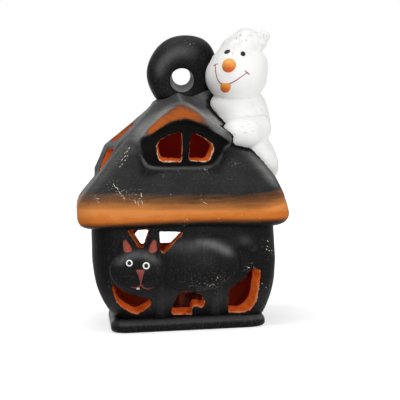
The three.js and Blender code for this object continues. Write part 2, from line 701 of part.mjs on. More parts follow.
const roofGrown = roofBlock(SLOPE_GAP);
const ringGrown = ringRound(JOINT_GAP);
const recessTunnel = prism(recessOutline(0), HOOD_FACE - SILL_RISE, HOOD_BACK - ROOF_TOP_WALL);
const hoodGrown = hoodSolid(JOINT_GAP);
const ghostHeadGrown = ellipsoid(onRoof(GHOST_HEAD_AT), GHOST_HEAD_SIZE, JOINT_GAP);
const ghostTorsoGrown = ellipsoid(onRoof(GHOST_TORSO_AT), GHOST_TORSO_SIZE, JOINT_GAP);
const ghostArmGrown = ghostArmSolid(JOINT_GAP);

const roofShell = cut(roofBlock(0), rimPocket(), roofHollow(), recessTunnel, sideWell);
const ghostHead = cut(ellipsoid(onRoof(GHOST_HEAD_AT), GHOST_HEAD_SIZE), ringGrown);
const ghostArm = cut(ghostArmSolid(0), roofGrown, hoodGrown);
const ghostTorso = cut(
  ellipsoid(onRoof(GHOST_TORSO_AT), GHOST_TORSO_SIZE),
  roofGrown, hoodGrown, ghostHeadGrown, ghostArmGrown, ringGrown);
const ghostRobe = cut(
  ellipsoid(onRoof(GHOST_ROBE_AT), GHOST_ROBE_SIZE, 0, GHOST_ROBE_TILT),
  roofGrown, ghostTorsoGrown, ghostArmGrown);
const ghostNose = cut(
  ellipsoid(onFace(GHOST_NOSE_AT), new THREE.Vector3().setScalar(GHOST_NOSE_RADIUS)), ghostHeadGrown);
const ghostTongue = cut(ellipsoid(onFace(GHOST_TONGUE_AT), GHOST_TONGUE_SIZE), ghostHeadGrown);

// Tealight, each piece turned round its own middle

/** Turns a closed profile of [radius, height] points round the upright axis. */
function turned(...profile) {
  const points = [...profile, profile[0]].map(([radius, height]) => new THREE.Vector2(radius, height));
  const geometry = new THREE.LatheGeometry(points, TURNED_AROUND);
  geometry.rotateX(Math.PI / 2);
  return welded(geometry);
}

const NECK_BORE = WICK_RADIUS + JOINT_GAP;
const NECK_RADIUS = NECK_BORE + NECK_WALL;
const SUSTAINER_SEAT = CUP_SHEET + JOINT_GAP;
const SUSTAINER_TOP = SUSTAINER_SEAT + SUSTAINER_SHEET;
const WAX_SEAT = SUSTAINER_TOP + JOINT_GAP;

const cupGeometry = turned(
  [0, 0], [CUP_RADIUS, 0], [CUP_RADIUS, CUP_HEIGHT], [CUP_RADIUS - CUP_SHEET, CUP_HEIGHT],
  [CUP_RADIUS - CUP_SHEET, CUP_SHEET], [0, CUP_SHEET]);
const waxGeometry = turned(
  [NECK_RADIUS + JOINT_GAP, WAX_SEAT], [CUP_RADIUS - CUP_SHEET - JOINT_GAP, WAX_SEAT],
  [CUP_RADIUS - CUP_SHEET - JOINT_GAP, WAX_HEIGHT], [NECK_RADIUS + JOINT_GAP, WAX_HEIGHT - WAX_DISH]);
const sustainerGeometry = turned(
  [NECK_BORE, SUSTAINER_SEAT], [SUSTAINER_RADIUS, SUSTAINER_SEAT], [SUSTAINER_RADIUS, SUSTAINER_TOP],
  [NECK_RADIUS, SUSTAINER_TOP], [NECK_RADIUS, SUSTAINER_TOP + SUSTAINER_NECK],
  [NECK_BORE, SUSTAINER_TOP + SUSTAINER_NECK]);
const wickGeometry = turned(
  [0, SUSTAINER_SEAT], [WICK_RADIUS, SUSTAINER_SEAT], [WICK_RADIUS, WICK_HEIGHT], [0, WICK_HEIGHT]);

// Finishes

/** A finish of its own for one piece. */
function finish(color, roughness, metalness = 0) {
  return new THREE.MeshStandardMaterial({ color, roughness, metalness });
}

const BLACK_PAINT = 0x2c2c2e;
const ORANGE_PAINT = 0xc9762f;
const WHITE_PAINT = 0xf4f3f0;
const ALUMINIUM = 0xc9cbcc;
const MATTE = 0.7;
const SATIN = 0.5;
const POLISHED = 0.35;

/** Adds one named piece to a group. */
function place(group, name, geometry, material) {
  const mesh = new THREE.Mesh(geometry, material);
  mesh.name = name;
  group.add(mesh);
}

const house = new THREE.Group();
place(house, 'base_plinth', loft(plinthLoops), finish(BLACK_PAINT, MATTE));
for (const [name, body] of [
  ['front_wall_half', frontWallHalf],
  ['back_wall_half', backWallHalf],
  ['cat_head', cut(catHeadFull, wallOutside)],
  ['cat_left_ear', catEar(CAT_HEAD_AT.x - CAT_EAR_SPREAD)],
  ['cat_right_ear', catEar(CAT_HEAD_AT.x + CAT_EAR_SPREAD)],
  ['cat_body', cut(catBodyFull, wallOutside, catHeadGrown)],
  ['cat_tail', catTail()],
  ['cat_front_leg', catLeg(CAT_FRONT_LEG)],
  ['cat_hind_leg', catLeg(CAT_HIND_LEG)],
]) place(house, name, geometryOf(body), finish(BLACK_PAINT, MATTE));

const roof = new THREE.Group();
for (const [name, body] of [
  ['roof_shell', roofShell],
  ['front_dormer', frontDormer()],
  ['left_dormer', leftDormer()],
  ['ring_handle', ringHandle()],
]) place(roof, name, geometryOf(body), finish(BLACK_PAINT, MATTE));
for (const [name, body, colour] of [
  ['ghost_head', ghostHead, WHITE_PAINT],
  ['ghost_hood', ghostHood(), WHITE_PAINT],
  ['ghost_torso', ghostTorso, WHITE_PAINT],
  ['ghost_arm', ghostArm, WHITE_PAINT],
  ['ghost_robe', ghostRobe, WHITE_PAINT],
  ['ghost_nose', ghostNose, ORANGE_PAINT],
  ['ghost_tongue', ghostTongue, ORANGE_PAINT],
]) place(roof, name, geometryOf(body), finish(colour, SATIN));

const tealight = new THREE.Group();
tealight.position.z = FOOT_HEIGHT + JOINT_GAP;
place(tealight, 'tealight_cup', cupGeometry, finish(ALUMINIUM, POLISHED, 1));
place(tealight, 'tealight_wax', waxGeometry, finish(WHITE_PAINT, SATIN));
place(tealight, 'wick_sustainer', sustainerGeometry, finish(ALUMINIUM, POLISHED, 1));
place(tealight, 'wick', wickGeometry, finish(WHITE_PAINT, MATTE));

const lantern = new THREE.Group();
lantern.add(house, roof, tealight);

export default lantern;
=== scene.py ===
"""Looks of a painted terracotta house lantern.

A pierced body with a cat in relief, a lift-off roof with two hooded windows and a carrying ring, a
white ghost that hugs the right slope, and the tealight inside. Shapes are worked out in millimetres
with numpy and put into the meshes in metres. A turned, rolled or painted form is a grid of two
parameters. A form of luted clay, fused and pierced, is a distance field whose zero surface is found
on a grid of cells.
"""

from __future__ import annotations

import logging
import math
from dataclasses import dataclass, field
from enum import Enum
from functools import partial, reduce
from typing import Callable, Sequence

import bpy
import numpy as np
from mathutils import Matrix, Vector

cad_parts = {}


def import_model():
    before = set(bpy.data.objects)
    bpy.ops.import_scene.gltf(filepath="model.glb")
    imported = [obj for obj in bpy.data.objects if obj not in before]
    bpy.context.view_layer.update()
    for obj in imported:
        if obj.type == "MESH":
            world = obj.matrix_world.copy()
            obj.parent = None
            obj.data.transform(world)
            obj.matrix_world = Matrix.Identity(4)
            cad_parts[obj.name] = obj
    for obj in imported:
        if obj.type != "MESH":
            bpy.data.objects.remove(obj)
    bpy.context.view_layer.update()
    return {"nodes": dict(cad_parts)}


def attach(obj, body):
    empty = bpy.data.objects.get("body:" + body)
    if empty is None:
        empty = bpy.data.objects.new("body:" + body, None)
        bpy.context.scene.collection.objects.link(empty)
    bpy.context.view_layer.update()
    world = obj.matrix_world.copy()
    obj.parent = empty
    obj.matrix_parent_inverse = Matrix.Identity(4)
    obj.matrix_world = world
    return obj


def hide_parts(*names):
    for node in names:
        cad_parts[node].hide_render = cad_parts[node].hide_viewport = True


LOG = logging.getLogger("lantern")
MM = 0.001
FAR = 30.0  # distance given where a form isn't worked out
SEARCH = 30.0  # how far behind its start a search for the skin goes
WALL_START, ROOF_START, HEAD_START, TRUNK_START = -60.0, -66.0, -40.0, -44.0  # depths before each skin
SEEN_RAYS = ("Camera", "Glossy", "Transmission")
WHITE_LIGHT = (1.0, 1.0, 1.0)

Array = np.ndarray
Field = Callable[[Array], Array]  # from places, one a row, to distances, negative inside
Socket = bpy.types.NodeSocket
Material = bpy.types.Material
Colour = tuple[float, float, float]
Value = Socket | float | Sequence[float]
Point = tuple[float, float, float]
Box = tuple[Point, Point]
Place = tuple[float, float]
Stroke = tuple[float, float, float, float]
Table = tuple[tuple[float, ...], tuple[float, ...]]


class Body(Enum):
    """The bodies that a piece can ride on."""

    HOUSE = "house"
    ROOF = "roof"
    TEALIGHT = "tealight"


class Slot(Enum):
    """The record's material slots."""

    BLACK = "black_clay"
    WHITE = "white_clay"
    ORANGE = "orange_clay"
    CUP = "cup_sheet"
    WAX = "wax"
    WICK = "wick_cotton"


# Distance fields


def blend_union(one: Array, two: Array, reach: float | Array) -> Array:
    """Joins two forms with a soft valley: the smaller distance less a parabola near the seam.

    Args:
        one: Distances to the first form.
        two: Distances to the second form.
        reach: Difference of distances within which the valley is rounded.

    Returns:
        Distances to the joined form.
    """
    share = np.clip(0.5 + 0.5 * (two - one) / reach, 0.0, 1.0)
    return two + (one - two) * share - reach * share * (1.0 - share)


def blend_cut(body: Array, tool: Array, reach: float) -> Array:
    """Takes a tool off a body with a rounded edge."""
    return -blend_union(-body, tool, reach)


def blend_meet(one: Array, two: Array, reach: float) -> Array:
    """Keeps what two forms share, with a rounded edge."""
    return -blend_union(-one, -two, reach)


def ease(value: Array, start: float, end: float) -> Array:
    """Climbs from 0 at start to 1 at end along 3t^2 - 2t^3; start may lie above end."""
    t = np.clip((value - start) / (end - start), 0.0, 1.0)
    return t * t * (3.0 - 2.0 * t)


def bell(value: Array, middle: float, width: float) -> Array:
    """Falls from 1 at the middle to 1/e at a width from it, along exp(-t^2)."""
    return np.exp(-(((value - middle) / width) ** 2))


def turned(x: Array, z: Array, angle: float) -> tuple[Array, Array]:
    """Turns places in X and Z anticlockwise by an angle in radians."""
    sine, cosine = math.sin(angle), math.cos(angle)
    return x * cosine - z * sine, x * sine + z * cosine


def lumps(points: Array, length: float, seed: float) -> Array:
    """Hand-made unevenness: a mean of three products of sines that run in different directions.

    Args:
        points: Places in millimetres, one row each.
        length: Distance over which the surface rises and falls.
        seed: Shifts the waves against each other.

    Returns:
        Values between -1 and 1.
    """
    x, y, z = (points * (2.0 * math.pi / length)).T
    first = np.sin(x + 0.6 * y + seed) * np.cos(0.8 * z - 0.3 * x + 2.1 * seed)
    second = np.sin(0.7 * y - 0.9 * z + 1.7 * seed) * np.cos(0.5 * x + 1.1 * y)
    third = np.sin(1.3 * z + 0.4 * x - seed) * np.cos(0.9 * y - 0.6 * z + 0.5 * seed)
    return (first + second + third) / 3.0


def rounded_plan(x: Array, y: Array, half_x: Array, half_y: Array, corner: Array) -> Array:
    """Distance to a rounded rectangle: the corner circles outside, the nearer side inside.

    Args:
        x: Places across.
        y: Places in depth.
        half_x: Half widths.
        half_y: Half depths.
        corner: Radii of the corners.

    Returns:
        Distances in the plan, negative inside.
    """
    over_x = np.abs(x) - half_x + corner
    over_y = np.abs(y) - half_y + corner
    beyond = np.hypot(np.maximum(over_x, 0.0), np.maximum(over_y, 0.0))
    return beyond + np.minimum(np.maximum(over_x, over_y), 0.0) - corner


def ellipsoid(points: Array, centre: Point, radii: Point, tilt: float = 0.0) -> Array:
    """Distance to an ellipsoid: its scaled radius k gives k(k - 1) over the scaled gradient.

    Args:
        points: Places.
        centre: Middle of the ellipsoid.
        radii: Half axes.
        tilt: Turn round Y in radians.

    Returns:
        Approximate distances, negative inside.
    """
    away = points - np.asarray(centre)
    if tilt:
        away[:, 0], away[:, 2] = turned(away[:, 0], away[:, 2], tilt)
    sizes = np.asarray(radii)
    level = np.linalg.norm(away / sizes, axis=1)
    slope = np.linalg.norm(away / sizes**2, axis=1)
    return level * (level - 1.0) / np.maximum(slope, 1e-6)


def limb(points: Array, path: Array, radii: Sequence[float], reach: float = 2.0) -> Array:
    """Distance to a round limb: along each stretch the nearest place's distance less its radius.

    Args:
        points: Places.
        path: Corners of the limb's middle line.
        radii: One radius for each corner.
        reach: Softness of the joints between the stretches.

    Returns:
        Distances.
    """
    best = np.full(len(points), 1e3)
    for start, end, thick, thin in zip(path[:-1], path[1:], radii[:-1], radii[1:]):
        along = end - start
        share = np.clip((points - start) @ along / (along @ along), 0.0, 1.0)
        gap = np.linalg.norm(points - start - share[:, None] * along, axis=1)
        best = blend_union(best, gap - thick - share * (thin - thick), reach)
    return best


def outline_distance(x: Array, z: Array, corners: Array) -> Array:
    """Distance to a closed outline: the nearest edge, signed by how often a level ray crosses it.

    Args:
        x: Places across.
        z: Heights.
        corners: The outline's corners, one row each.

    Returns:
        Distances.
    """
    nearest = np.full(len(x), np.inf)
    inside = np.zeros(len(x), bool)
    for (ax, az), (bx, bz) in zip(corners, np.roll(corners, -1, axis=0)):
        edge_x, edge_z = bx - ax, bz - az
        share = np.clip(((x - ax) * edge_x + (z - az) * edge_z) / (edge_x**2 + edge_z**2), 0.0, 1.0)
        nearest = np.minimum(nearest, (x - ax - edge_x * share) ** 2 + (z - az - edge_z * share) ** 2)
        if az != bz:
            inside ^= ((az > z) != (bz > z)) & (x < edge_x * (z - az) / edge_z + ax)
    return np.where(inside, -1.0, 1.0) * np.sqrt(nearest)


def drawn_in(corners: Array, reach: float) -> Array:
    """Moves an anticlockwise outline inwards: each corner along the sum of its edges' normals.

    Args:
        corners: The outline's corners, one row each.
        reach: How far the edges move.

    Returns:
        The moved corners.
    """
    edge = np.roll(corners, -1, axis=0) - corners
    edge = edge / np.linalg.norm(edge, axis=1, keepdims=True)
    normal = np.stack([-edge[:, 1], edge[:, 0]], axis=1)
    before = np.roll(normal, 1, axis=0)
    return corners + reach * (before + normal) / (1.0 + (before * normal).sum(axis=1, keepdims=True))


def inside_box(points: Array, box: Box, form: Field) -> Array:
    """Works a form out only in a box, and gives a large distance outside it.

    Args:
        points: Places.
        box: Lowest and highest corner of the box.
        form: The form's field.

    Returns:
        Distances to the form.
    """
    low, high = np.array(box)
    near = np.all((points > low) & (points < high), axis=1)
    distances = np.full(len(points), FAR)
    if near.any():
        distances[near] = form(points[near])
    return distances


def in_parts(form: Field, points: Array, size: int = 60000) -> Array:
    """Works a form out in runs of points that fit the processor's memory."""
    runs = np.array_split(points, max(1, len(points) // size))
    return np.concatenate([form(run) for run in runs])


def bend(form: Field, points: Array, reach: float) -> Array:
    """How sharply a form bends: the sum of six neighbours' distances less six times its own.

    Args:
        form: The form's field.
        points: Places on the surface.
        reach: Distance to the neighbours.

    Returns:
        That sum over reach^2: high on an edge, negative in a hollow.
    """
    sides = [side * reach * axis for axis in np.eye(3) for side in (-1.0, 1.0)]
    around = np.sum([in_parts(form, points + side) for side in sides], axis=0)
    return (around - 6.0 * in_parts(form, points)) / reach**2


def settle(form: Field, points: Array, cell: float) -> Array:
    """Moves points onto the zero surface: three Newton steps along the field's gradient.

    Args:
        form: The form's field.
        points: Places near the surface.
        cell: Cell size, which limits a step.

    Returns:
        The moved points.
    """
    step, flattest = 0.04, 0.3
    for _ in range(3):
        here = in_parts(form, points)
        ahead = [in_parts(form, points + step * axis) for axis in np.eye(3)]
        slope = (np.stack(ahead, axis=1) - here[:, None]) / step
        steep = np.maximum((slope**2).sum(axis=1), flattest)
        points = points - (np.clip(here, -cell / 2, cell / 2) / steep)[:, None] * slope
    return points


def field_surface(form: Field, box: Box, cell: float) -> tuple[Array, Array]:
    """Finds a field's zero surface: one point in each crossed cell, one quad round each crossed edge.

    A point starts at the mean of its cell's edge crossings and is then moved onto the surface. Cells
    far from the surface, as a coarse grid shows, aren't worked out.

    Args:
        form: The form's field.
        box: Lowest and highest corner of the searched box.
        cell: Cell size.

    Returns:
        Points, and rows of four point numbers that run anticlockwise seen from outside.
    """
    coarse, margin = 4, 1.6
    cell = cell * 1.0
    low, high = np.array(box)
    blocks = np.ceil((high - low) / (cell * coarse)).astype(int)
    axes = [low[i] + cell * coarse * (np.arange(blocks[i]) + 0.5) for i in range(3)]
    middles = np.stack(np.meshgrid(*axes, indexing="ij"), axis=-1).reshape(-1, 3)
    values = in_parts(form, middles).reshape(blocks)
    for axis in range(3):
        values = np.repeat(values, coarse, axis=axis)
    shape = values.shape
    near = np.abs(values) < cell * coarse * margin
    values[near] = in_parts(form, low + cell * (np.argwhere(near) + 0.5))

    inside = values < 0.0
    count = np.zeros([n - 1 for n in shape], np.int8)
    unit = np.eye(3, dtype=int)
    corners = np.array([[i, j, k] for i in (0, 1) for j in (0, 1) for k in (0, 1)])
    for i, j, k in corners:
        count += inside[i : shape[0] - 1 + i, j : shape[1] - 1 + j, k : shape[2] - 1 + k]
    crossed = (count > 0) & (count < 8)
    cells = np.argwhere(crossed)
    number = np.full(crossed.shape, -1)
    number[crossed] = np.arange(len(cells))
    total = np.zeros((len(cells), 3))
    hits = np.zeros(len(cells))
    for start in corners:
        for axis in unit[start == 0]:
            end = start + axis
            one = values[tuple((cells + start).T)]
            two = values[tuple((cells + end).T)]
            change = (one < 0.0) != (two < 0.0)
            share = np.where(change, one / np.where(change, one - two, 1.0), 0.0)
            total += np.where(change[:, None], start + share[:, None] * axis, 0.0)
            hits += change
    points = low + cell * (cells + total / hits[:, None] + 0.5)

    quads = []
    for axis in range(3):
        one, two = (axis + 1) % 3, (axis + 2) % 3
        before = np.take(inside, range(shape[axis] - 1), axis=axis)
        after = np.take(inside, range(1, shape[axis]), axis=axis)
        edges = np.argwhere(before != after)
        edges = edges[(edges[:, one] > 0) & (edges[:, two] > 0)]
        edges = edges[(edges[:, one] < shape[one] - 1) & (edges[:, two] < shape[two] - 1)]
        around = [np.zeros(3, int), -unit[one], -unit[one] - unit[two], -unit[two]]
        ring = np.stack([number[tuple((edges + shift).T)] for shift in around], axis=1)
        leaving = before[tuple(edges.T)]
        quads.append(np.where(leaving[:, None], ring, ring[:, ::-1]))
    return settle(form, points, cell), np.concatenate(quads)


def first_skin(form: Field, x: Array, z: Array, start: float) -> Array:
    """Finds where lines along +Y first enter a form: samples each line, then halves the interval.

    Args:
        form: The form's field.
        x: Places across.
        z: Heights.
        start: Depth in front of the form.

    Returns:
        Depths of the form's front skin.
    """
    steps, halvings = 90, 16
    depths = start + SEARCH * np.arange(steps) / (steps - 1)
    rows = np.stack([np.repeat(x, steps), np.tile(depths, len(x)), np.repeat(z, steps)], axis=1)
    inside = form(rows).reshape(len(x), steps) < 0.0
    enter = np.where(inside.any(axis=1), inside.argmax(axis=1), steps - 1)
    far = depths[enter]
    near = depths[np.maximum(enter - 1, 0)]
    for _ in range(halvings):
        middle = (near + far) / 2
        hit = form(np.stack([x, middle, z], axis=1)) < 0.0
        far = np.where(hit, middle, far)
        near = np.where(hit, near, middle)
    return far


# Grids of two parameters


def full_turn(count: int) -> Array:
    """Equal steps of angle once round."""
    return np.arange(count) * (2.0 * math.pi / count)


def loops(x: Array, y: Array, z: Array) -> Array:
    """Loops as rows, points and coordinates; a coordinate given once for a row holds all along it."""
    return np.stack(np.broadcast_arrays(x, y, z), axis=-1)


def grid_quads(levels: int, around: int, closed: bool = False) -> Array:
    """Quads between neighbouring loops.

    Args:
        levels: How many loops there are.
        around: Points in a loop.
        closed: Whether the last loop also joins the first.

    Returns:
        Rows of four point numbers.
    """
    level = np.repeat(np.arange(levels if closed else levels - 1), around)
    turn = np.arange(len(level)) % around
    here, above = level * around, (level + 1) % levels * around
    beside = (turn + 1) % around
    return np.stack([here + turn, here + beside, above + beside, above + turn], axis=1)


def tube_surface(rows: Array) -> tuple[Array, Array, Array]:
    """Skins a stack of closed loops and closes each end with a fan round the end loop's mean.

    Args:
        rows: Loops of equal counts of points, as rows, points and coordinates.

    Returns:
        Points, quads and triangles.
    """
    levels, around, _ = rows.shape
    points = np.concatenate([rows.reshape(-1, 3), rows[:1].mean(axis=1), rows[-1:].mean(axis=1)])
    ring = np.arange(around)
    after = (ring + 1) % around
    last = (levels - 1) * around
    first_fan = np.stack([after, ring, np.full(around, levels * around)], axis=1)
    last_fan = np.stack([last + ring, last + after, np.full(around, levels * around + 1)], axis=1)
    return points, grid_quads(levels, around), np.concatenate([first_fan, last_fan])


def rounded_loop(half_x: Array, half_y: Array, corner: Array, z: Array, count: int) -> Array:
    """Level loops round a rounded rectangle: a corner circle in equal steps for each quarter.

    Args:
        half_x: Half widths, one for each level.
        half_y: Half depths.
        corner: Corner radii.
        z: Heights.
        count: Points in each quarter.

    Returns:
        Loops as rows, points and coordinates.
    """
    angle = (np.arange(4)[:, None] + np.arange(count) / (count - 1)) * (math.pi / 2)
    side_x = np.repeat(np.array([1.0, -1.0, -1.0, 1.0]), count)
    side_y = np.repeat(np.array([1.0, 1.0, -1.0, -1.0]), count)
    cosine, sine = np.cos(angle).ravel(), np.sin(angle).ravel()
    x = side_x * (half_x - corner)[:, None] + corner[:, None] * cosine
    y = side_y * (half_y - corner)[:, None] + corner[:, None] * sine
    return loops(x, y, z[:, None])


def turned_loops(
    profile: Sequence[Place], around: int, waves: int = 0, depth: float = 0.0
) -> Array:
    """Turns a profile of radius and height round Z; waves flute the radius by a cosine.

    Args:
        profile: Radii and heights from one end to the other.
        around: Points in a loop.
        waves: Flutes round the loop.
        depth: How deep a flute is.

    Returns:
        Loops as rows, points and coordinates.
    """
    plain, least = 5.0, 0.01
    radius, height = np.array(profile).T[:, :, None]
    angle = full_turn(around)
    size = np.maximum(radius + depth * np.cos(waves * angle) * (radius > plain), least)
    return loops(size * np.cos(angle), size * np.sin(angle), height)


def paint_patch(form: Field, outline: Array, start: float, thick: float) -> Array:
    """A lens of paint on a form's front: the outline shrunk to its middle, raised by 1 - s^2.

    Args:
        form: The form that carries the paint.
        outline: Corners in X and Z.
        start: Depth in front of the form.
        thick: Height of the lens above the skin.

    Returns:
        Loops from the lens's front to its back.
    """
    front, back = np.linspace(0.02, 1.0, 9), np.linspace(0.96, 0.02, 8)
    above, edge, sunk = 0.04, -0.05, -0.35
    middle = outline.mean(axis=0)
    flat = middle + np.concatenate([front, back])[:, None, None] * (outline - middle)
    x, z = flat[..., 0], flat[..., 1]
    skin = first_skin(form, x.ravel(), z.ravel(), start).reshape(x.shape)
    lens = thick * (1.0 - front**2) + above
    lens[-1] = edge
    height = np.concatenate([lens, np.full(len(back), sunk)])
    return loops(x, skin - height[:, None], z)


def paint_line(
    form: Field, path: Sequence[Place], width: Sequence[float], start: float, thick: float = 0.16
) -> Array:
    """A drawn line on a form's front: a flat oval carried along a smooth path over the skin.

    Args:
        form: The form that carries the line.
        path: Corners in X and Z.
        width: Half widths at the corners.
        start: Depth in front of the form.
        thick: Height of the line above the skin.

    Returns:
        Loops along the line.
    """
    places = smooth_path(np.array(path, float), 7)
    share = np.linspace(0.0, 1.0, len(places))
    half = np.interp(share, np.linspace(0.0, 1.0, len(width)), width)
    skin = first_skin(form, places[:, 0], places[:, 1], start)
    run = np.gradient(places, axis=0)
    run /= np.maximum(np.linalg.norm(run, axis=1, keepdims=True), 1e-6)
    angle = full_turn(10)
    aside = half[:, None] * np.cos(angle)
    x = places[:, :1] - run[:, 1:] * aside
    z = places[:, 1:] + run[:, :1] * aside
    return loops(x, skin[:, None] - thick * np.sin(angle), z)


def smooth_path(path: Array, steps: int) -> Array:
    """A curve through a path's corners: the cubic whose ends run along the neighbours' chord.

    Args:
        path: Corners, one row each.
        steps: Points in each stretch.

    Returns:
        Points on the curve.
    """
    ends = np.concatenate([2 * path[:1] - path[1:2], path, 2 * path[-1:] - path[-2:-1]])
    t = (np.arange(steps) / steps)[None, :, None]
    a, b, c, d = (ends[i : len(path) - 1 + i, None, :] for i in range(4))
    curve = b + 0.5 * t * (c - a + t * (2 * a - 5 * b + 4 * c - d + t * (3 * (b - c) + d - a)))
    return np.concatenate([curve.reshape(-1, path.shape[1]), path[-1:]])


def oval(centre: Place, half_x: float, half_z: float, turn: float = 0.0) -> Array:
    """An oval outline in X and Z.

    Args:
        centre: Its middle.
        half_x: Half width before the turn.
        half_z: Half height before the turn.
        turn: Angle in radians, anticlockwise.

    Returns:
        Corners, one row each.
    """
    angle = full_turn(28)
    x, z = turned(half_x * np.cos(angle), half_z * np.sin(angle), turn)
    return np.stack([centre[0] + x, centre[1] + z], axis=1)


def rounded_outline(corners: Sequence[Place], steps: int = 6) -> Array:
    """A closed curve whose pieces run from edge middle to edge middle and bend towards each corner.

    Args:
        corners: The outline's corners.
        steps: Points in each piece.

    Returns:
        Points on the curve.
    """
    points = np.array(corners, float)
    before = (np.roll(points, 1, axis=0) + points) / 2
    after = (points + np.roll(points, -1, axis=0)) / 2
    t = (np.arange(steps) / steps)[None, :, None]
    bent = 2 * t * (1 - t) * points[:, None]
    return ((1 - t) ** 2 * before[:, None] + bent + t**2 * after[:, None]).reshape(-1, 2)


# Finishes


class Nodes:
    """A node tree, filled by calls that give back sockets."""

    def __init__(self, tree: bpy.types.NodeTree) -> None:
        """Takes a tree over."""
        self.tree = tree

    def node(self, kind: str, setting: tuple[str, str] | None = None, **inputs: Value) -> bpy.types.Node:
        """Adds a node.

        Args:
            kind: Its type, without the leading ShaderNode.
            setting: Name and value of the one setting that isn't an input.
            inputs: What its inputs get, named with _ for each space, or by _ and a number.

        Returns:
            The new node.
        """
        node = self.tree.nodes.new(f"ShaderNode{kind}")
        if setting:
            setattr(node, *setting)
        for name, value in inputs.items():
            key = int(name[1:]) if name.startswith("_") else name.replace("_", " ")
            self.feed(node.inputs[key], value)
        return node

    def feed(self, socket: Socket, value: Value) -> None:
        """Links a socket to another, or sets its value.

        Args:
            socket: The input.
            value: Another socket, a number, or a colour.
        """
        if isinstance(value, bpy.types.NodeSocket):
            self.tree.links.new(value, socket)
        elif isinstance(value, (tuple, list)) and socket.type == "RGBA":
            socket.default_value = (*value, 1.0)
        else:
            socket.default_value = value

    def math(self, kind: str, one: Value, two: Value) -> Socket:
        """One step of arithmetic, by Blender's name for it."""
        return self.node("Math", ("operation", kind), _0=one, _1=two).outputs[0]

    def times(self, *values: Value) -> Socket:
        """The product of all values."""
        return reduce(partial(self.math, "MULTIPLY"), values)

    def plus(self, *values: Value) -> Socket:
        """The sum of all values."""
        return reduce(partial(self.math, "ADD"), values)

    def seen(self) -> Socket:
        """One for rays from the camera, from gloss or through glass, else nought."""
        rays = self.node("LightPath").outputs
        return reduce(partial(self.math, "MAXIMUM"), [rays[f"Is {kind} Ray"] for kind in SEEN_RAYS])


class Recipe(Nodes):
    """A material's node tree with one shader."""

    def __init__(self, name: str) -> None:
        """Starts an empty material.

        Args:
            name: The material's name.
        """
        self.material = bpy.data.materials.new(name)
        self.material.use_nodes = True
        self.material.node_tree.nodes.clear()
        super().__init__(self.material.node_tree)
        self.shader = self.node("BsdfPrincipled")
        self.node("OutputMaterial", Surface=self.shader.outputs[0])
        self.place = self.node("TexCoord").outputs["Object"]

    def stretched(self, x: float, y: float, z: float) -> Socket:
        """Object coordinates scaled along each axis."""
        return self.node("Mapping", Vector=self.place, Scale=(x, y, z)).outputs[0]

    def noise(
        self, scale: float, detail: float = 3.0, rough: float = 0.5, place: Socket | None = None
    ) -> Socket:
        """Cloudy noise between 0 and 1."""
        settings = {"Scale": scale, "Detail": detail, "Roughness": rough}
        return self.node("TexNoise", Vector=place or self.place, **settings).outputs[0]

    def grains(self, scale: float) -> Socket:
        """Distance to the nearest of many scattered points."""
        return self.node("TexVoronoi", Vector=self.place, Scale=scale).outputs["Distance"]

    def swing(self, noise: Socket, size: float) -> Socket:
        """A noise made to swing round nought, by half of size to either side."""
        return self.times(self.math("SUBTRACT", noise, 0.5), size)

    def climb(
        self, value: Socket, start: float, end: float, low: float = 0.0, high: float = 1.0
    ) -> Socket:
        """A smooth step from low at the start to high at the end, which may lie below the start."""
        ends = {"From_Min": start, "From_Max": end, "To_Min": low, "To_Max": high}
        return self.node("MapRange", ("interpolation_type", "SMOOTHSTEP"), Value=value, **ends).outputs[0]

    def mix(self, share: Socket, one: Socket | Colour, two: Socket | Colour) -> Socket:
        """A colour between two, by the second one's share."""
        return self.node("Mix", ("data_type", "RGBA"), _0=share, _6=one, _7=two).outputs[2]

    def measure(self, name: str) -> Socket:
        """A number that the mesh stores at its points under a name."""
        return self.node("Attribute", ("attribute_name", name)).outputs["Fac"]

    def upward(self) -> Socket:
        """How far the surface faces up, from -1 to 1."""
        normal = self.node("NewGeometry").outputs["Normal"]
        return self.node("SeparateXYZ", Vector=normal).outputs["Z"]

    def height(self) -> Socket:
        """Height of a place in metres."""
        return self.node("SeparateXYZ", Vector=self.place).outputs["Z"]

    def bump(self, value: Socket, strength: float, distance: float) -> None:
        """Roughens the shading by a height value, over a distance in millimetres."""
        node = self.node("Bump", Strength=strength, Distance=distance * MM, Height=value)
        self.feed(self.shader.inputs["Normal"], node.outputs[0])

    def done(self, colour: Socket | Colour, roughness: Socket | float, **others: Value) -> Material:
        """Feeds the shader.

        Args:
            colour: The base colour.
            roughness: How matt it is.
            others: What other inputs get, named with _ for each space.

        Returns:
            The finished material.
        """
        for name, value in {"Base_Color": colour, "Roughness": roughness, **others}.items():
            self.feed(self.shader.inputs[name.replace("_", " ")], value)
        return self.material


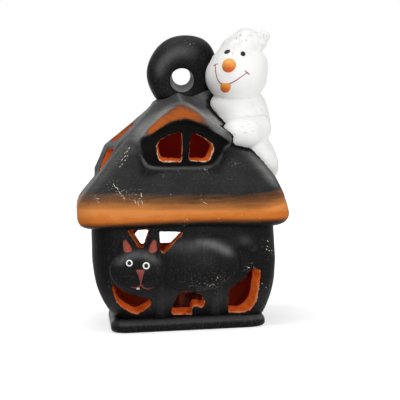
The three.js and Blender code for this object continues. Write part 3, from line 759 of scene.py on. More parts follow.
@dataclass(frozen=True)
class CharcoalClay:
    """Satin black paint over terracotta: bare cut faces, chipped edges, scuffs and sprayed orange.

    The mesh stores skin (millimetres under the painted skin), scuff (how worn a place is), a highlight
    measure (how much grey is painted on: painted highlights, partly dry brush), chip (how pale a cut
    edge is), warm (how much orange lies over the black) and shade (how much painted shade darkens a
    place; beside the ghost also the black slip).
    """

    name: str
    strokes: tuple[float, float, float]
    black: Colour = (0.0048, 0.0048, 0.0052)
    # paler grey of dusting and of painted light on surfaces that face up; also the grain's tone
    dust_and_light_grey: Colour = (0.045, 0.0452, 0.0458)
    # grey of the painted highlights, partly dry brush
    grey: Colour = (0.135, 0.135, 0.134)
    bright: Colour = (0.74, 0.27, 0.070)
    orange: Colour = (0.62, 0.170, 0.024)
    brown: Colour = (0.42, 0.105, 0.020)
    clay: Colour = (0.80, 0.150, 0.018)
    burnt: Colour = (0.52, 0.070, 0.008)
    # dark red of the inner faces, partly painted shade of the hollow
    inner: Colour = (0.64, 0.032, 0.010)
    cream: Colour = (0.90, 0.64, 0.40)
    fleck: Colour = (0.62, 0.58, 0.50)
    # near-black of the painted shade; beside the ghost also the black slip
    shade_tone: Colour = (0.0024, 0.0018, 0.0016)

    def black_paint(self, r: Recipe, brush: Socket, broad: Socket) -> Socket:
        """Black, greyer where it faces up from dusting and from painted light from above, and grey with
        painted highlights, partly dry brush.

        Args:
            r: The material's recipe.
            brush: Noise drawn out along the brush strokes.
            broad: Noise of broad clouds.

        Returns:
            The paint's colour.
        """
        # dusting and painted light: surfaces that face up turn paler
        facing = r.climb(r.upward(), 0.15, 0.85, 0.0, 0.85)
        top_dust_and_light = r.times(facing, r.climb(broad, 0.25, 0.75, 0.45, 1.0))
        fine = r.climb(r.noise(1100.0, 4.0, 0.6), 0.46, 0.74)
        grain = r.times(fine, r.climb(brush, 0.35, 0.7, 0.2, 0.75))
        colour = r.mix(grain, r.mix(top_dust_and_light, self.black, self.dust_and_light_grey), self.dust_and_light_grey)
        # painted highlights, partly dry brush, in grey
        rub = r.times(r.measure("rub"), r.climb(brush, 0.3, 0.7, 0.68, 1.0))
        mottle = r.climb(r.noise(720.0, 3.0, 0.65), 0.55, 0.74, 0.0, 0.09)
        return r.mix(r.math("MINIMUM", r.plus(rub, mottle), 1.0), colour, self.grey)

    def orange_paint(self, r: Recipe, brush: Socket, broad: Socket) -> Socket:
        """Orange on the eave, paler where it lies thickest and, as painted light, higher up; darker low
        on the eave as painted shade; brown on the hood.

        Args:
            r: The material's recipe.
            brush: Noise drawn out along the brush strokes.
            broad: Noise of broad clouds.

        Returns:
            The paint's colour.
        """
        tone = r.plus(r.times(brush, 0.4), r.times(broad, 0.6))
        # painted shade and light: darker orange low on the eave, paler above 77 mm
        level = r.climb(r.height(), 0.068, 0.077, -0.22, 0.2)
        colour = r.mix(r.climb(r.plus(tone, level), 0.3, 0.7), self.orange, self.bright)
        return r.mix(r.climb(r.height(), 0.095, 0.105), colour, self.brown)

    def worn_paint(self, r: Recipe, paint: Socket) -> Socket:
        """Pale streaks where the paint is scuffed, and a few stray flecks.

        Args:
            r: The material's recipe.
            paint: The whole paint's colour.

        Returns:
            The worn paint's colour.
        """
        streak = r.noise(1.0, 5.0, 0.7, r.stretched(640.0, 900.0, 760.0))
        worn = r.times(r.measure("scuff"), r.climb(streak, 0.57, 0.64))
        paint = r.mix(r.math("MINIMUM", worn, 0.9), paint, self.fleck)
        speck = r.climb(r.grains(170.0), 0.085, 0.05)
        rare = r.climb(r.noise(46.0, 1.0), 0.64, 0.70)
        return r.mix(r.times(speck, rare, 0.6), paint, self.fleck)

    def bare_clay(self, r: Recipe, skin: Socket, ragged: Socket) -> Socket:
        """Orange clay, dark red deep inside, partly as painted shade of the hollow, and cream along the
        chipped edge.

        Args:
            r: The material's recipe.
            skin: Millimetres under the painted skin.
            ragged: The same, made uneven.

        Returns:
            The clay's colour.
        """
        earth = r.mix(r.climb(r.noise(260.0, 4.0, 0.65), 0.3, 0.7), self.burnt, self.clay)
        # partly painted shade: the inner faces turn dark red
        earth = r.mix(r.climb(skin, 4.2, 6.8), earth, self.inner)
        broken = r.climb(r.noise(330.0, 2.0), 0.38, 0.48)
        rim = r.times(r.climb(ragged, 1.9, 1.2), broken, r.measure("chip"))
        return r.mix(rim, earth, self.cream)

    def material(self) -> Material:
        """Paint where the skin is whole, clay where it was cut.

        Returns:
            The finished material.
        """
        r = Recipe(self.name)
        broad = r.noise(70.0, 3.0, 0.55)
        brush = r.noise(1.0, 4.0, 0.6, r.stretched(*self.strokes))
        skin, shade = r.measure("skin"), r.measure("shade")
        ragged = r.plus(skin, r.swing(r.noise(520.0, 3.0), 1.1))
        warm = r.climb(r.plus(r.measure("warm"), r.swing(brush, 0.22)), 0.08, 0.72)
        paint = r.mix(warm, self.black_paint(r, brush, broad), self.orange_paint(r, brush, broad))
        bare = r.climb(ragged, 0.32, 0.55)
        colour = r.mix(bare, self.worn_paint(r, paint), self.bare_clay(r, skin, ragged))
        sheen = r.climb(broad, 0.3, 0.7, 0.36, 0.48)
        matt = r.times(r.math("MAXIMUM", bare, warm), 0.22)
        gloss = r.plus(sheen, matt, r.times(shade, 0.35))
        r.bump(r.plus(r.noise(900.0, 4.0, 0.6), r.times(brush, 0.4)), 0.24, 0.25)
        # painted shade: the shade measure mixes the colour towards near-black
        return r.done(r.mix(shade, colour, self.shade_tone), gloss, Specular_IOR_Level=0.06)


@dataclass(frozen=True)
class GhostWhite:
    """Satin white paint, grey-mottled on the crown and greyer in the folds from dirt and painted shade.

    The mesh stores seam (millimetres from the roof's skin) and fold (how close a fold is).
    """

    name: str = "ghost_white"
    white: Colour = (0.95, 0.95, 0.94)
    grey: Colour = (0.52, 0.52, 0.53)
    fleck: Colour = (0.14, 0.13, 0.12)
    black: Colour = (0.014, 0.014, 0.015)
    rust: Colour = (0.40, 0.20, 0.09)

    def material(self) -> Material:
        """White, greyer in the folds from dirt and painted shade, and broken by black roof paint at the
        seam.

        Returns:
            The finished material.
        """
        r = Recipe(self.name)
        broad, fine = r.noise(90.0, 4.0, 0.6), r.noise(800.0, 4.0, 0.6)
        colour = r.mix(r.climb(broad, 0.52, 0.8, 0.0, 0.2), self.white, self.grey)
        # grey mottling on the crown, above 166 mm
        crown_mottle = r.climb(r.noise(260.0, 4.0, 0.65), 0.45, 0.66)
        crown = r.times(r.climb(r.height(), 0.166, 0.178, 0.0, 0.3), crown_mottle)
        # dirt and painted shade: greyer in the folds
        fold = r.times(r.measure("fold"), r.climb(fine, 0.25, 0.7, 0.1, 0.45))
        rare = r.climb(r.noise(60.0, 2.0), 0.58, 0.64)
        speck = r.times(r.climb(r.grains(210.0), 0.10, 0.05), rare, 0.8)
        ragged = r.plus(r.measure("seam"), r.swing(r.noise(300.0, 4.0, 0.7), 3.2))
        patchy = r.climb(r.noise(110.0, 2.0), 0.52, 0.62, 0.0, 0.55)
        smear = r.times(r.climb(ragged, 2.2, 0.7), patchy)
        edge = r.climb(ragged, 0.7, 0.3)
        for share, over in (
            (crown, self.grey),
            (fold, self.grey),
            (speck, self.fleck),
            (smear, self.rust),
            (edge, self.black),
        ):
            colour = r.mix(share, colour, over)
        r.bump(r.plus(fine, broad), 0.2, 0.25)
        return r.done(colour, r.climb(broad, 0.3, 0.7, 0.36, 0.5), Specular_IOR_Level=0.3)


@dataclass(frozen=True)
class DaubedPaint:
    """Thick paint of one hue, lighter where the brush left more of it and darker lower down; on one small
    daub this is painted shade below and painted light above.
    """

    name: str
    light: Colour
    dark: Colour
    low: float
    high: float
    roughness: float = 0.4
    shine: float = 0.3

    def material(self) -> Material:
        """Fades from dark at the low height to light at the high one, with brush clouds; across one small
        daub the fade is painted light and shade.

        Returns:
            The finished material.
        """
        r = Recipe(self.name)
        cloud = r.noise(420.0, 4.0, 0.6)
        # lighter higher up, darker lower down: painted light and shade on a small daub
        level = r.climb(r.height(), self.low * MM, self.high * MM)
        share = r.climb(r.plus(level, r.swing(cloud, 1.1)), 0.0, 1.0)
        r.bump(r.noise(1300.0, 3.0), 0.25, 0.2)
        gloss = r.climb(cloud, 0.3, 0.7, self.roughness - 0.06, self.roughness + 0.08)
        return r.done(r.mix(share, self.dark, self.light), gloss, Specular_IOR_Level=self.shine)


@dataclass(frozen=True)
class Aluminium:
    """Thin drawn sheet with fine upright lines, dark red-brown as painted shade and painted reflection of
    the red clay round it.
    """

    name: str
    # painted shade and painted reflection: all three colours of the metal are dark red-brown
    dark: Colour = (0.11, 0.022, 0.012)
    light: Colour = (0.15, 0.036, 0.020)
    shade_tone: Colour = (0.06, 0.012, 0.006)

    def material(self) -> Material:
        """Metal whose gloss is broken by drawing lines.

        Returns:
            The finished material.
        """
        r = Recipe(self.name)
        lines = r.noise(1.0, 3.0, 0.6, r.stretched(1500.0, 1500.0, 60.0))
        r.bump(lines, 0.15, 0.1)
        cloud = r.noise(160.0, 4.0, 0.65)
        bare = r.mix(r.climb(lines, 0.3, 0.7), self.dark, self.light)
        # painted shade: clouds mix in the darkest red-brown
        colour = r.mix(r.climb(cloud, 0.35, 0.65, 0.25, 0.9), bare, self.shade_tone)
        return r.done(colour, r.climb(cloud, 0.2, 0.8, 0.42, 0.66), Metallic=1.0)


@dataclass(frozen=True)
class Paraffin:
    """Waxy white with faint clouds."""

    name: str = "paraffin"
    dull: Colour = (0.74, 0.71, 0.64)
    pale: Colour = (0.82, 0.80, 0.75)

    def material(self) -> Material:
        """A pale body with a little light under its surface.

        Returns:
            The finished material.
        """
        r = Recipe(self.name)
        cloud = r.noise(120.0, 4.0, 0.6)
        r.bump(r.noise(300.0, 3.0), 0.2, 0.3)
        colour = r.mix(r.climb(cloud, 0.3, 0.7), self.dull, self.pale)
        gloss = r.climb(cloud, 0.3, 0.7, 0.36, 0.5)
        return r.done(colour, gloss, Subsurface_Weight=0.2, Subsurface_Scale=0.004)


@dataclass(frozen=True)
class Cotton:
    """Twisted cotton, charred towards the top."""

    name: str = "wick_cotton"
    dull: Colour = (0.62, 0.57, 0.47)
    pale: Colour = (0.82, 0.79, 0.70)
    char: Colour = (0.02, 0.018, 0.016)

    def material(self) -> Material:
        """Pale thread with a dark end.

        Returns:
            The finished material.
        """
        r = Recipe(self.name)
        weave = r.noise(1.0, 2.0, 0.5, r.stretched(1800.0, 1800.0, 900.0))
        r.bump(weave, 0.5, 0.3)
        thread = r.mix(r.climb(weave, 0.3, 0.7), self.dull, self.pale)
        return r.done(r.mix(r.climb(r.height(), 0.0225, 0.0262), thread, self.char), 0.9)


# Pieces


@dataclass
class Piece:
    """One finished mesh: its name, points in millimetres, faces, and numbers stored at the points."""

    name: str
    points: Array
    quads: Array
    triangles: Array = field(default_factory=lambda: np.zeros((0, 3), int))
    measures: dict[str, Array] = field(default_factory=dict)

    def make(self, body: Body, slot: Slot, material: Material, nodes: Sequence[str] = ()) -> None:
        """Puts the piece into the scene.

        Args:
            body: What it rides on.
            slot: The record's slot of its finish; not used.
            material: Its finish.
            nodes: The CAD nodes that it stands for.
        """
        mesh = bpy.data.meshes.new(self.name)
        sizes = np.repeat([4, 3], [len(self.quads), len(self.triangles)])
        starts = np.cumsum(sizes) - sizes
        corners = np.concatenate([self.quads.ravel(), self.triangles.ravel()])
        mesh.vertices.add(len(self.points))
        mesh.loops.add(len(corners))
        mesh.polygons.add(len(sizes))
        mesh.vertices.foreach_set("co", (self.points * MM).astype(np.float32).ravel())
        mesh.loops.foreach_set("vertex_index", corners.astype(np.int32))
        mesh.polygons.foreach_set("loop_start", starts.astype(np.int32))
        mesh.polygons.foreach_set("use_smooth", np.ones(len(sizes), bool))
        mesh.update(calc_edges=True)
        mesh.validate()
        for name, values in self.measures.items():
            layer = mesh.attributes.new(name, "FLOAT", "POINT")
            layer.data.foreach_set("value", values.astype(np.float32))
        mesh.materials.append(material)
        thing = bpy.data.objects.new(self.name, mesh)
        bpy.context.scene.collection.objects.link(thing)
        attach(thing, body.value)
        if nodes:
            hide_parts(*nodes)
        LOG.info("%s: %d faces on %s", self.name, len(sizes), body.value)


def tube_piece(name: str, rows: Array) -> Piece:
    """A piece from a stack of loops."""
    return Piece(name, *tube_surface(rows))


@dataclass(frozen=True)
class Scratches:
    """Short strokes through the paint of one form, each with its middle swayed a little aside."""

    name: str
    form: Field
    start: float
    width: tuple[float, float, float]
    thick: float
    sway: Place = (0.0, 0.0)
    pace: float = 2.0
    waver: float = 0.0
    beat: float = 1.7

    def make(self, strokes: Sequence[Stroke], body: Body, slot: Slot, material: Material) -> None:
        """Puts one piece for each stroke into the scene.

        Args:
            strokes: Both ends of each stroke in X and Z.
            body: What they ride on.
            slot: The record's slot of their finish.
            material: Their finish.
        """
        thin, full, end = self.width
        for number, (one, two) in enumerate(np.reshape(strokes, (-1, 2, 2))):
            middle = (one + two) / 2 + np.array(self.sway) * math.sin(self.pace * number)
            width = (thin, full + self.waver * math.sin(self.beat * number), end)
            rows = paint_line(self.form, [one, middle, two], width, self.start, self.thick)
            tube_piece(self.name.format(number + 1), rows).make(body, slot, material)


def worn_places(points: Array, spots: Sequence[tuple[float, float, float, float, float]]) -> Array:
    """How worn each point is: bells round the spots, each with a place, a size and a strength.

    Args:
        points: Places.
        spots: X, Y, Z, radius and strength of each worn place.

    Returns:
        Wear from 0 upwards.
    """
    wear = np.zeros(len(points))
    for x, y, z, radius, strength in spots:
        wear += strength * bell(np.linalg.norm(points - (x, y, z), axis=1), 0.0, radius)
    return wear


def clay_measures(count: int, **given: Array) -> dict[str, Array]:
    """What painted clay stores at its points: the given numbers, and nought for the others."""
    names = ("skin", "scuff", "warm", "rub", "chip", "shade")
    return {name: given.get(name, np.zeros(count)) for name in names}


@dataclass(frozen=True)
class Opening:
    """A hand-cut opening: its outline on the skin, and how the knife drifts and tapers with depth."""

    corners: Sequence[Place]
    drift: tuple[float, float] = (0.0, 0.0)
    taper: float = 0.15
    corner: float = 0.7
    rough: tuple[float, float] = (0.24, 6.0)

    def distance(self, points: Array, depth: Array) -> Array:
        """Distance to the opening: its outline, moved by drift and drawn in by taper with depth.

        Args:
            points: Places.
            depth: How far each place lies under the skin.

        Returns:
            Distances, negative inside the opening.
        """
        wobble = self.rough[0] * lumps(points, self.rough[1], 1.3)
        x = points[:, 0] - self.drift[0] * depth
        z = points[:, 2] - self.drift[1] * depth
        outline = np.array(self.corners)
        run = np.roll(outline, -1, axis=0)
        if (outline[:, 0] * run[:, 1] - outline[:, 1] * run[:, 0]).sum() < 0.0:
            outline = outline[::-1]
        rounded = outline_distance(x, z, drawn_in(outline, self.corner)) - self.corner
        return rounded + self.taper * depth + wobble


def cat_openings() -> list[Opening]:
    """The openings round the cat: between the ears, behind the head, and three at the feet.

    Returns:
        Five openings.
    """
    between_ears = [(-35.6, 63.9), (-28.9, 53.3), (-25.8, 53.1), (-21.4, 64.1)]
    behind_head = [(-15.7, 62.4), (-0.6, 61.2), (-13.2, 49.4), (-15.3, 49.9)]
    under_head = [
        (-45.8, 30.2), (-44.7, 24.4), (-43.2, 19.7), (-41.2, 17.0), (-38.2, 14.6), (-34.6, 12.4),
        (-30.9, 11.0), (-26.3, 13.3), (-22.3, 16.7), (-21.9, 18.6), (-23.4, 20.6), (-27.1, 22.1),
        (-33.2, 23.9), (-38.6, 26.3), (-42.8, 29.6),
    ]
    under_belly = [
        (-9.5, 11.9), (-8.7, 15.6), (-6.7, 20.5), (-5.0, 23.6), (-2.5, 24.8), (0.5, 25.0),
        (5.4, 23.8), (8.5, 21.9), (11.0, 18.1), (10.9, 14.9), (9.0, 13.0), (6.2, 14.4), (4.1, 14.2),
        (3.3, 12.2), (3.3, 8.8), (-8.0, 9.2), (-9.2, 10.2),
    ]
    behind_leg = [
        (38.5, 35.5), (41.7, 37.1), (46.0, 36.0), (45.5, 31.0), (44.6, 25.2), (43.8, 19.0),
        (42.6, 15.2), (40.4, 11.8), (37.6, 9.9), (34.6, 9.0), (26.3, 9.5), (25.6, 14.5), (25.6, 21.8),
        (26.7, 25.2), (31.3, 28.4), (36.9, 32.5),
    ]
    return [
        Opening(between_ears, (0.2, 0.1), 0.2),
        Opening(behind_head, (-0.08, 0.1), 0.06),
        Opening(under_head, (0.0, 0.45), 0.15),
        Opening(under_belly, (0.0, 0.5), 0.15),
        Opening(behind_leg, (-0.5, 0.42), 0.2),
    ]


@dataclass
class House:
    """The pressed wall with the cat in relief, its painted face and the foot under it."""

    half_x: float = 56.5
    half_y: float = 46.5
    corner: float = 16.0
    wall: float = 7.0
    foot_top: float = 7.0
    rim: float = 70.0
    swell_height: float = 43.0
    swell_radius: float = 50.0
    lean: float = 0.7
    right_fuller: float = 0.46
    left_fuller: float = 0.1
    foot_half_x: float = 47.3
    foot_half_y: float = 40.0
    foot_corner: float = 9.0
    foot_round: float = 2.6
    foot_end_round: float = 3.4
    foot_right_reach: float = 1.6
    roll_top: float = 7.9
    roll_width: float = 6.6
    roll_end_width: float = 3.2
    roll_start: float = 3.6
    door_half: float = 28.0
    door_sill: float = 48.0
    door_spring: float = 53.0
    door_rise: float = 11.0
    wall_box: Box = ((-59.0, -55.5, 5.4), (59.0, 49.5, 72.0))
    cat_box: Box = ((-60.0, -60.0, 4.0), (60.0, -28.0, 68.0))
    cell: float = 0.8
    openings: list[Opening] = field(default_factory=cat_openings)

    def inset(self, z: Array) -> Array:
        """How far the wall lies in from its fullest: a circle below the swell, a parabola above.

        Args:
            z: Heights.

        Returns:
            Insets, one for each height.
        """
        z = np.clip(z, self.foot_top, self.rim)
        below = np.minimum(z - self.swell_height, 0.0)
        above = np.maximum(z - self.swell_height, 0.0) / (self.rim - self.swell_height)
        return self.swell_radius - np.sqrt(self.swell_radius**2 - below**2) + self.lean * above**2

    def front(self, z: float) -> float:
        """Depth of the front wall's outside at a height."""
        return float(self.inset(np.array(z))) - self.half_y

    def outside(self, points: Array) -> Array:
        """Distance to the plain wall: the plan's distance, leaned with the slope of the inset.

        Args:
            points: Places.

        Returns:
            Distances.
        """
        x, y, z = points.T
        fuller = self.right_fuller * ease(x, 15.0, 46.0) + self.left_fuller * ease(x, -15.0, -46.0)
        inset = self.inset(z) * (1.0 - fuller * ease(z, 40.0, 30.0))
        below = np.clip(self.swell_height - z, 0.0, self.swell_height - self.foot_top)
        lean = np.sqrt(1.0 - (below / self.swell_radius) ** 2)
        return rounded_plan(x, y, self.half_x - inset, self.half_y - inset, self.corner) * lean

    def wall_limb(
        self, points: Array, places: Sequence[Place], radii: Sequence[float], sunk: float
    ) -> Array:
        """A limb on the front wall.

        Args:
            points: Places.
            places: Corners of its middle line in X and Z.
            radii: One radius for each corner.
            sunk: Share of the radius by which it lies in the wall.

        Returns:
            Distances.
        """
        bends = smooth_path(np.column_stack([np.array(places, float), radii]), 3)
        path = np.array([(x, self.front(z) + sunk * r, z) for x, z, r in bends])
        return limb(points, path, bends[:, 2], 0.05)

    def wall_ball(self, points: Array, x: float, z: float, radii: Point, raised: float = 0.0) -> Array:
        """An ellipsoid whose middle lies on the front wall's outside, or is raised above it."""
        return ellipsoid(points, (x, self.front(z) - raised, z), radii)

    def cat(self, points: Array) -> Array:
        """The cat: head, ears, body with rump and shoulder, legs and tail, softly joined.

        Args:
            points: Places.

        Returns:
            Distances.
        """
        body = self.wall_ball(points, 8.0, 41.5, (24.0, 4.8, 16.6))
        rump = self.wall_ball(points, 18.5, 44.0, (14.0, 6.0, 14.2))
        shoulder = self.wall_ball(points, -5.0, 42.0, (13.5, 5.0, 14.0))
        body = blend_union(blend_union(body, rump, 3.0), shoulder, 3.0)
        curl = [(25, 50.5), (31, 54.0), (37, 53.4), (40.6, 50.2)]
        body = blend_union(body, self.wall_limb(points, curl, [4.6, 5.2, 5.4, 4.6], 0.58), 2.4)
        for x in (-16.3, 17.3):
            leg = self.wall_limb(points, [(x, 33), (x, 21.5), (x, 10.5)], [5.6, 5.4, 5.2], 0.72)
            body = blend_union(body, leg, 2.0)
        head = self.wall_ball(points, -29.9, 39.6, (17.2, 7.0, 13.4))
        cheeks = self.wall_ball(points, -29.4, 36.5, (14.5, 5.8, 9.5), 0.6)
        head = blend_union(head, cheeks, 2.5)
        left, right = [(-35.6, 48.5), (-36.9, 57.0)], [(-21.4, 48.3), (-19.6, 56.2)]
        ears = [self.wall_limb(points, path, [4.7, 2.3], 0.0) for path in (left, right)]
        head = blend_union(head, np.minimum(*ears), 1.2)
        return blend_union(body, head, 0.7)

    def painted(self, points: Array) -> Array:
        """The painted skin: the wall's outside with the cat on it, as uneven as pressed clay.

        Args:
            points: Places.

        Returns:
            Distances.
        """
        cat = inside_box(points, self.cat_box, self.cat)
        body = blend_union(self.outside(points), cat, 1.3)
        return body + 0.16 * lumps(points, 34.0, 0.4) + 0.05 * lumps(points, 9.0, 2.2)

    def holes(self, points: Array, depth: Array) -> Array:
        """Distance to the nearest opening, front or back.

        Args:
            points: Places.
            depth: How far each place lies under the skin.

        Returns:
            Distances, negative inside an opening.
        """
        angle = np.linspace(0.0, math.pi, 24)
        rise = self.door_spring + self.door_rise * np.sin(angle)
        arch = np.stack([self.door_half * np.cos(angle), rise], axis=1)
        sill = [(-self.door_half, self.door_sill), (self.door_half, self.door_sill)]
        door = Opening(np.concatenate([arch, sill]), taper=0.05)
        best = np.full(len(points), FAR)
        flat, margin = points[:, [0, 2]], 9
        for opening, front in [*((o, True) for o in self.openings), (door, False)]:
            low, high = np.min(opening.corners, axis=0), np.max(opening.corners, axis=0)
            near = np.all((flat > low - margin) & (flat < high + margin), axis=1)
            near &= (points[:, 1] < 0) == front
            if near.any():
                best[near] = np.minimum(best[near], opening.distance(points[near], depth[near]))
        return best

    def shape(self, points: Array) -> Array:
        """The whole wall: the painted skin, hollow inside, open at both ends and pierced.

        Args:
            points: Places.

        Returns:
            Distances.
        """
        plain = self.outside(points)
        body = blend_meet(self.painted(points), -(plain + self.wall), 0.8)
        body = blend_meet(body, points[:, 2] - self.rim, 1.2)
        body = np.maximum(body, self.foot_top - 0.4 - points[:, 2])
        depth = np.clip(-plain, 0.0, self.wall)
        return blend_cut(body, self.holes(points, depth), 0.7)

    def rubbed(self, points: Array) -> Array:
        """How much grey is painted on as highlights, partly dry brush: head, rump, back, tail and flank,
        and every edge a little.

        Args:
            points: Places.

        Returns:
            Shares from 0 upwards.
        """
        x, y, z = points.T
        head = np.hypot((x + 29.9) / 17.2, (z - 39.6) / 13.4)
        crown = bell(head, 0.72, 0.17) * ease(z, 41.0, 47.0) * ease(y, -46.5, -49.0)
        body = np.hypot((x - 8.0) / 24.5, (z - 41.5) / 17.2)
        rump = bell(body, 0.78, 0.14) * ease(x, 1.0, 14.0) * ease(x, 37.0, 27.0) * ease(z, 44.0, 50.0)
        back = 0.4 * bell(x, 2.0, 13.0) * bell(z, 53.0, 4.0)
        low = 0.16 * bell(z, 18.0, 9.0)
        tail = 0.32 * bell(x, 36.5, 4.5) * bell(z, 55.0, 3.0)
        flank = 0.12 * bell(x, 10.0, 8.0) * bell(z, 45.0, 6.5)
        edges = 0.15 * ease(bend(self.painted, points, 1.2), 0.10, 0.5)
        brushed = 0.68 * crown + 1.05 * rump + back + low + tail + flank
        return ease(y, -30.0, -42.0) * brushed + edges

    def build(self, clay: Material) -> None:
        """Makes the wall and the foot.

        Args:
            clay: The painted clay's finish.
        """
        points, quads = field_surface(self.shape, self.wall_box, self.cell)
        x, y, z = points.T
        spots = [
            (49.9, -40, 49.6, 4.5, 0.9), (50.5, -39, 45, 3.0, 0.7), (21.4, -50, 31.9, 2.0, 0.8),
            (5, -50, 30.0, 5.0, 0.35), (17, -49, 28.5, 6.0, 0.45), (39.5, -46, 37.6, 3.0, 1.0),
            (50, -36, 27, 3.5, 0.8), (-45, -43, 31, 3.0, 0.4), (0, 46, 30, 6.0, 0.12),
            (30, 45, 22, 5.0, 0.12),
        ]
        skin = -in_parts(self.painted, points)
        # high cut faces under the eave: painted shade on those between the ears, pale chips on those
        # behind the head
        high_cuts = ease(y, -36.0, -40.0) * ease(z, 44.0, 48.0) * ease(skin, 0.3, 1.2)
        by_back = x > -17.5
        # painted shade on the wall's left and right ends
        sides = np.maximum(0.4 * ease(x, 28.0, 48.0), 0.5 * ease(x, -42.0, -53.0))
        measures = clay_measures(
            len(points),
            skin=skin,
            scuff=worn_places(points, spots),
            rub=in_parts(self.rubbed, points),
            chip=0.16 * ease(x, -12.0, 6.0) + 0.14 + 0.6 * high_cuts * by_back,
            shade=np.maximum(np.where(by_back, 0.0, 0.5) * high_cuts, sides * (skin < 0.4)),
        )
        nodes = [
            "front_wall_half", "back_wall_half", "cat_head", "cat_left_ear", "cat_right_ear",
            "cat_body", "cat_tail", "cat_front_leg", "cat_hind_leg",
        ]
        wall = Piece("wall_with_cat", points, quads, measures=measures)
        wall.make(Body.HOUSE, Slot.BLACK, clay, nodes)
        self.build_foot(clay)

    def build_foot(self, clay: Material) -> None:
        """The foot: a section with a rolled upper edge carried round a rounded rectangle.

        Args:
            clay: The painted clay's finish.
        """
        angle = np.linspace(0.0, math.pi / 2, 12)
        sine, cosine = np.sin(angle), np.cos(angle)
        flat_loops, wide = 7, self.roll_width
        reach = self.foot_half_y - self.foot_corner - 1.0
        step, floor = [wide + 2.4, wide + 3.4], np.linspace(wide + 4.0, reach, flat_loops)
        edge = self.foot_round * (1 - cosine)
        roll = self.roll_start + (self.roll_top - self.roll_start) * sine
        top = np.full(flat_loops, self.foot_top)
        z = np.concatenate([np.zeros(flat_loops), edge, roll, [self.roll_top, self.foot_top], top])

        def insets(low: float, high: float) -> Array:
            """How far the loops lie in from a side, by the reach of its lower and upper edge."""
            under = np.linspace(reach, low + 1.0, flat_loops)
            return np.concatenate([under, low * (1 - sine), high * (1 - cosine), step, floor])

        across = insets(self.foot_end_round, self.roll_end_width)
        along = insets(self.foot_round, wide)
        corner = np.maximum(self.foot_corner - 0.2 * along, 1.0)
        rows = rounded_loop(self.foot_half_x - across, self.foot_half_y - along, corner, z, 26)
        flat = rows.reshape(-1, 3)
        flat[:, 0] += self.foot_right_reach * ease(flat[:, 0], 18.0, 46.0)
        uneven = np.where(flat[:, 2] > 0.4, 0.5 + 0.5 * lumps(flat, 26.0, 0.9), 0.5)
        flat[:, :2] *= (1.0 - 0.006 * uneven)[:, None]
        piece = tube_piece("foot", flat.reshape(rows.shape))
        x, y, height = piece.points.T
        inner = (np.abs(x) < 38.0) & (np.abs(y) < 31.0) & (np.abs(height - self.foot_top) < 0.1)
        bare = (height < 0.05) | inner
        # painted highlight along the front edge of the foot's roll
        rub = 0.55 * ease(height, 3.9, 5.4) * ease(height, 7.8, 6.8)
        rub *= 0.75 + 0.35 * lumps(piece.points, 7.0, 0.4)
        rub *= ease(x, -45.0, -39.0) * ease(np.abs(y), 30.0, 34.0)
        spots = [(40, -39, 6, 8, 0.4), (-44, -36, 2, 6, 0.5), (10, -40, 1, 9, 0.4)]
        piece.measures = clay_measures(
            len(x),
            skin=np.where(bare, 3.0, 0.0),
            scuff=0.2 * worn_places(piece.points, spots),
            rub=rub,
        )
        piece.make(Body.HOUSE, Slot.BLACK, clay, ["base_plinth"])

    def dress(self) -> None:
        """Paints the cat's ears, eyes, nose, mouth and tooth, and chips the wall's paint."""
        # painted light and shade: the eye, pupil and tooth daubs are lighter at the top and darker at the
        # bottom
        eye_white, eye_shade = (0.93, 0.93, 0.91), (0.80, 0.80, 0.79)
        white = DaubedPaint("cat_eye_white", eye_white, eye_shade, 36, 42).material()
        jet, shade_tone = (0.012, 0.012, 0.013), (0.006, 0.006, 0.007)
        black = DaubedPaint("cat_pupil_black", jet, shade_tone, 36, 48, 0.4, 0.15).material()
        red, brown = (0.33, 0.062, 0.036), (0.20, 0.034, 0.020)
        russet = DaubedPaint("cat_russet", red, brown, 30, 60, 0.5).material()
        pale, earthy = (0.78, 0.74, 0.66), (0.60, 0.52, 0.42)
        bared = DaubedPaint("wall_bared_cream", pale, earthy, 10, 60, 0.7).material()
        ivory, shaded_ivory = (0.80, 0.72, 0.62), (0.62, 0.52, 0.44)
        cream = DaubedPaint("cat_tooth_cream", ivory, shaded_ivory, 27, 30).material()

        def patch(name: str, outline: Array, thick: float, material: Material, slot: Slot) -> None:
            """Adds one daub of paint."""
            rows = paint_patch(self.painted, outline, WALL_START, thick)
            tube_piece(name, rows).make(Body.HOUSE, slot, material)

